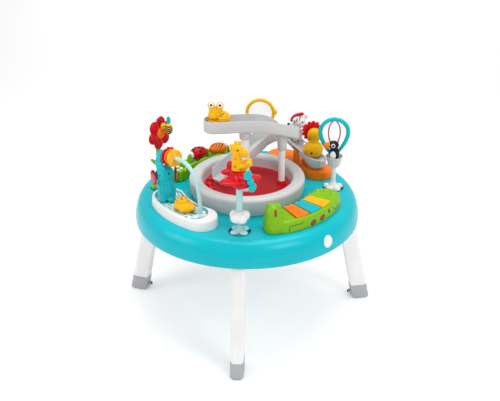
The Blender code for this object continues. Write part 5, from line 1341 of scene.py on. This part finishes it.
def build_bug(name, material, at, azimuth, size):
    turn = at_z(azimuth)
    along = turn @ vec(0.0, 1.0, 0.0)
    shapes = [ball(at, (size, 0.033, size), turn),
              ball(at - along * 0.018, (size * 0.8, 0.015, size * 0.8), turn)]
    bug = add(name + "_skin", join([fuse(shapes, 0.0011, 4),
                                    rod(at - along * 0.0392, at + along * 0.0392, 0.0024)]),
              material, name, [name])
    toward = vec(0.0, 0.7, -0.71)
    if name == "ladybug":
        for i, (x, y) in enumerate(((-0.018, 0.01), (-0.008, 0.0125), (0.004, 0.0125), (0.016, 0.01),
                                    (-0.012, -0.002), (0.01, -0.002))):
            spot("ladybug_spot_%d" % i, bug, at + aim(-toward) @ vec(x, y, 0), toward, 0.0042, 0.0036,
                 BLACK)
        stripe("ladybug_line", bug, at, toward, [(-0.026, 0.0), (0.0, 0.005), (0.024, 0.003)], 0.0018,
               BLACK)
        face = ball(at + along * 0.0265, (0.0125, 0.009, 0.0125), turn)
        add("ladybug_face", face, WHITE, name)
        for i, sign in enumerate((-1, 1)):
            dot = at + along * 0.0335 + turn @ vec(0.0045 * sign, 0.0, 0.003)
            add("ladybug_eye_%d" % i, ball(dot, (0.0024, 0.0016, 0.0026), turn), BLACK, name)
    else:
        for i in range(5):
            stripe("tiger_bug_stripe_%d" % i, bug, at + aim(-toward) @ vec(-0.018 + 0.008 * i, 0.005, 0),
                   toward, [(-0.003, -0.009), (0.0, 0.0), (0.004, 0.01)], 0.0032, BLACK)
        wing = ball(at - along * 0.0235 + UP * 0.0075, (0.011, 0.012, 0.008), turn)
        add("tiger_bug_wing", wing, AQUA, name)


# ---------------------------------------------------------------- carried-over CAD nodes
def finish_cad_nodes():
    """Give the CAD solids that stay in view their detailed materials."""
    kept = {"tray_underpan": WHITE, "turntable_bearing": WHITE, "turntable_retainer": WHITE,
            "seesaw_pin": STEEL, "sound_module": BLACK}
    for name, material in kept.items():
        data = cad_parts[name].data
        data.materials.clear()
        data.materials.append(material)


# ---------------------------------------------------------------- studio
FLOOR_REACH = 9.0
FLOOR_COLOUR = (0.93, 0.93, 0.93, 1.0)
FLOOR_GLOW = 0.17
WORLD_STRENGTH = 0.58
PURE_WHITE = (1.0, 1.0, 1.0, 1.0)
TABLE_MIDDLE = vec(0.0, 0.0, 0.4)
FAR_FLOOR = vec(0.0, 4.6, 0.0)
LAMPS = (                        # name, place, aimed at, size, power, spread in degrees
    ("key", vec(1.9, -1.9, 2.3), TABLE_MIDDLE, 1.3, 26.0, 180.0),
    ("fill", vec(-2.2, -1.0, 1.6), TABLE_MIDDLE, 1.3, 16.0, 180.0),
    ("top", vec(0.2, 0.2, 2.9), TABLE_MIDDLE, 2.0, 42.0, 180.0),
    ("far", vec(0.0, 4.6, 3.0), FAR_FLOOR, 2.0, 24.0, 100.0))
CAMERA_ELEVATION = 26.91
CAMERA_TURN = 4.31               # degrees round the tray's axis, from straight in front
CAMERA_DISTANCE = 3.0
CAMERA_TARGET = vec(0.0094, 0.0, 0.397)
CAMERA_LENS = 66.64


def build_floor():
    """Plain pale floor that glows a little, so that it stays white."""
    paper = bpy.data.materials.new("paper")
    paper.use_nodes = True
    shader = paper.node_tree.nodes["Principled BSDF"]
    shader.inputs["Base Color"].default_value = FLOOR_COLOUR
    shader.inputs["Roughness"].default_value = 0.9
    shader.inputs["Emission Color"].default_value = PURE_WHITE
    shader.inputs["Emission Strength"].default_value = FLOOR_GLOW
    data = bpy.data.meshes.new("floor")
    corners = [(x * FLOOR_REACH, y * FLOOR_REACH, 0) for x, y in ((-1, -1), (1, -1), (1, 1), (-1, 1))]
    data.from_pydata(corners, [], [(0, 1, 2, 3)])
    data.materials.append(paper)
    link(bpy.data.objects.new("floor", data))


def build_lights():
    """Soft white surroundings and four soft lamps."""
    world = bpy.data.worlds.new("studio")
    world.use_nodes = True
    world.node_tree.nodes["Background"].inputs["Color"].default_value = PURE_WHITE
    world.node_tree.nodes["Background"].inputs["Strength"].default_value = WORLD_STRENGTH
    bpy.context.scene.world = world
    for name, place, target, size, power, spread in LAMPS:
        data = bpy.data.lights.new(name, "AREA")
        data.size = size
        data.energy = power
        data.spread = math.radians(spread)
        lamp = link(bpy.data.objects.new(name, data))
        lamp.location = place
        lamp.rotation_euler = (target - place).to_track_quat("-Z", "Y").to_euler()
    bpy.context.scene.view_settings.view_transform = "Standard"


def build_camera():
    """Camera a little above the table, turned slightly to its right."""
    elevation = math.radians(CAMERA_ELEVATION)
    turn = at_z(CAMERA_TURN)
    back = vec(0.0, -math.cos(elevation), math.sin(elevation)) * CAMERA_DISTANCE
    target = turn @ CAMERA_TARGET + vec(0.0, TRAY_Y, 0.0)
    place = turn @ (CAMERA_TARGET + back) + vec(0.0, TRAY_Y, 0.0)
    data = bpy.data.cameras.new("camera")
    data.lens = CAMERA_LENS
    data.sensor_width = 36.0
    camera = link(bpy.data.objects.new("camera", data))
    camera.location = place
    camera.rotation_euler = (target - place).to_track_quat("-Z", "Y").to_euler()
    bpy.context.scene.camera = camera


for build in (
        build_tray, build_legs, build_bowl, build_track, build_snail, build_plane_stem, build_plane,
        build_giraffe, build_tub, build_duck, build_elephant, build_arch, build_croc, build_balloon,
        build_toucan, build_seesaw, build_mirror, build_flower, build_pod, finish_cad_nodes,
        build_floor, build_lights, build_camera):
    build()
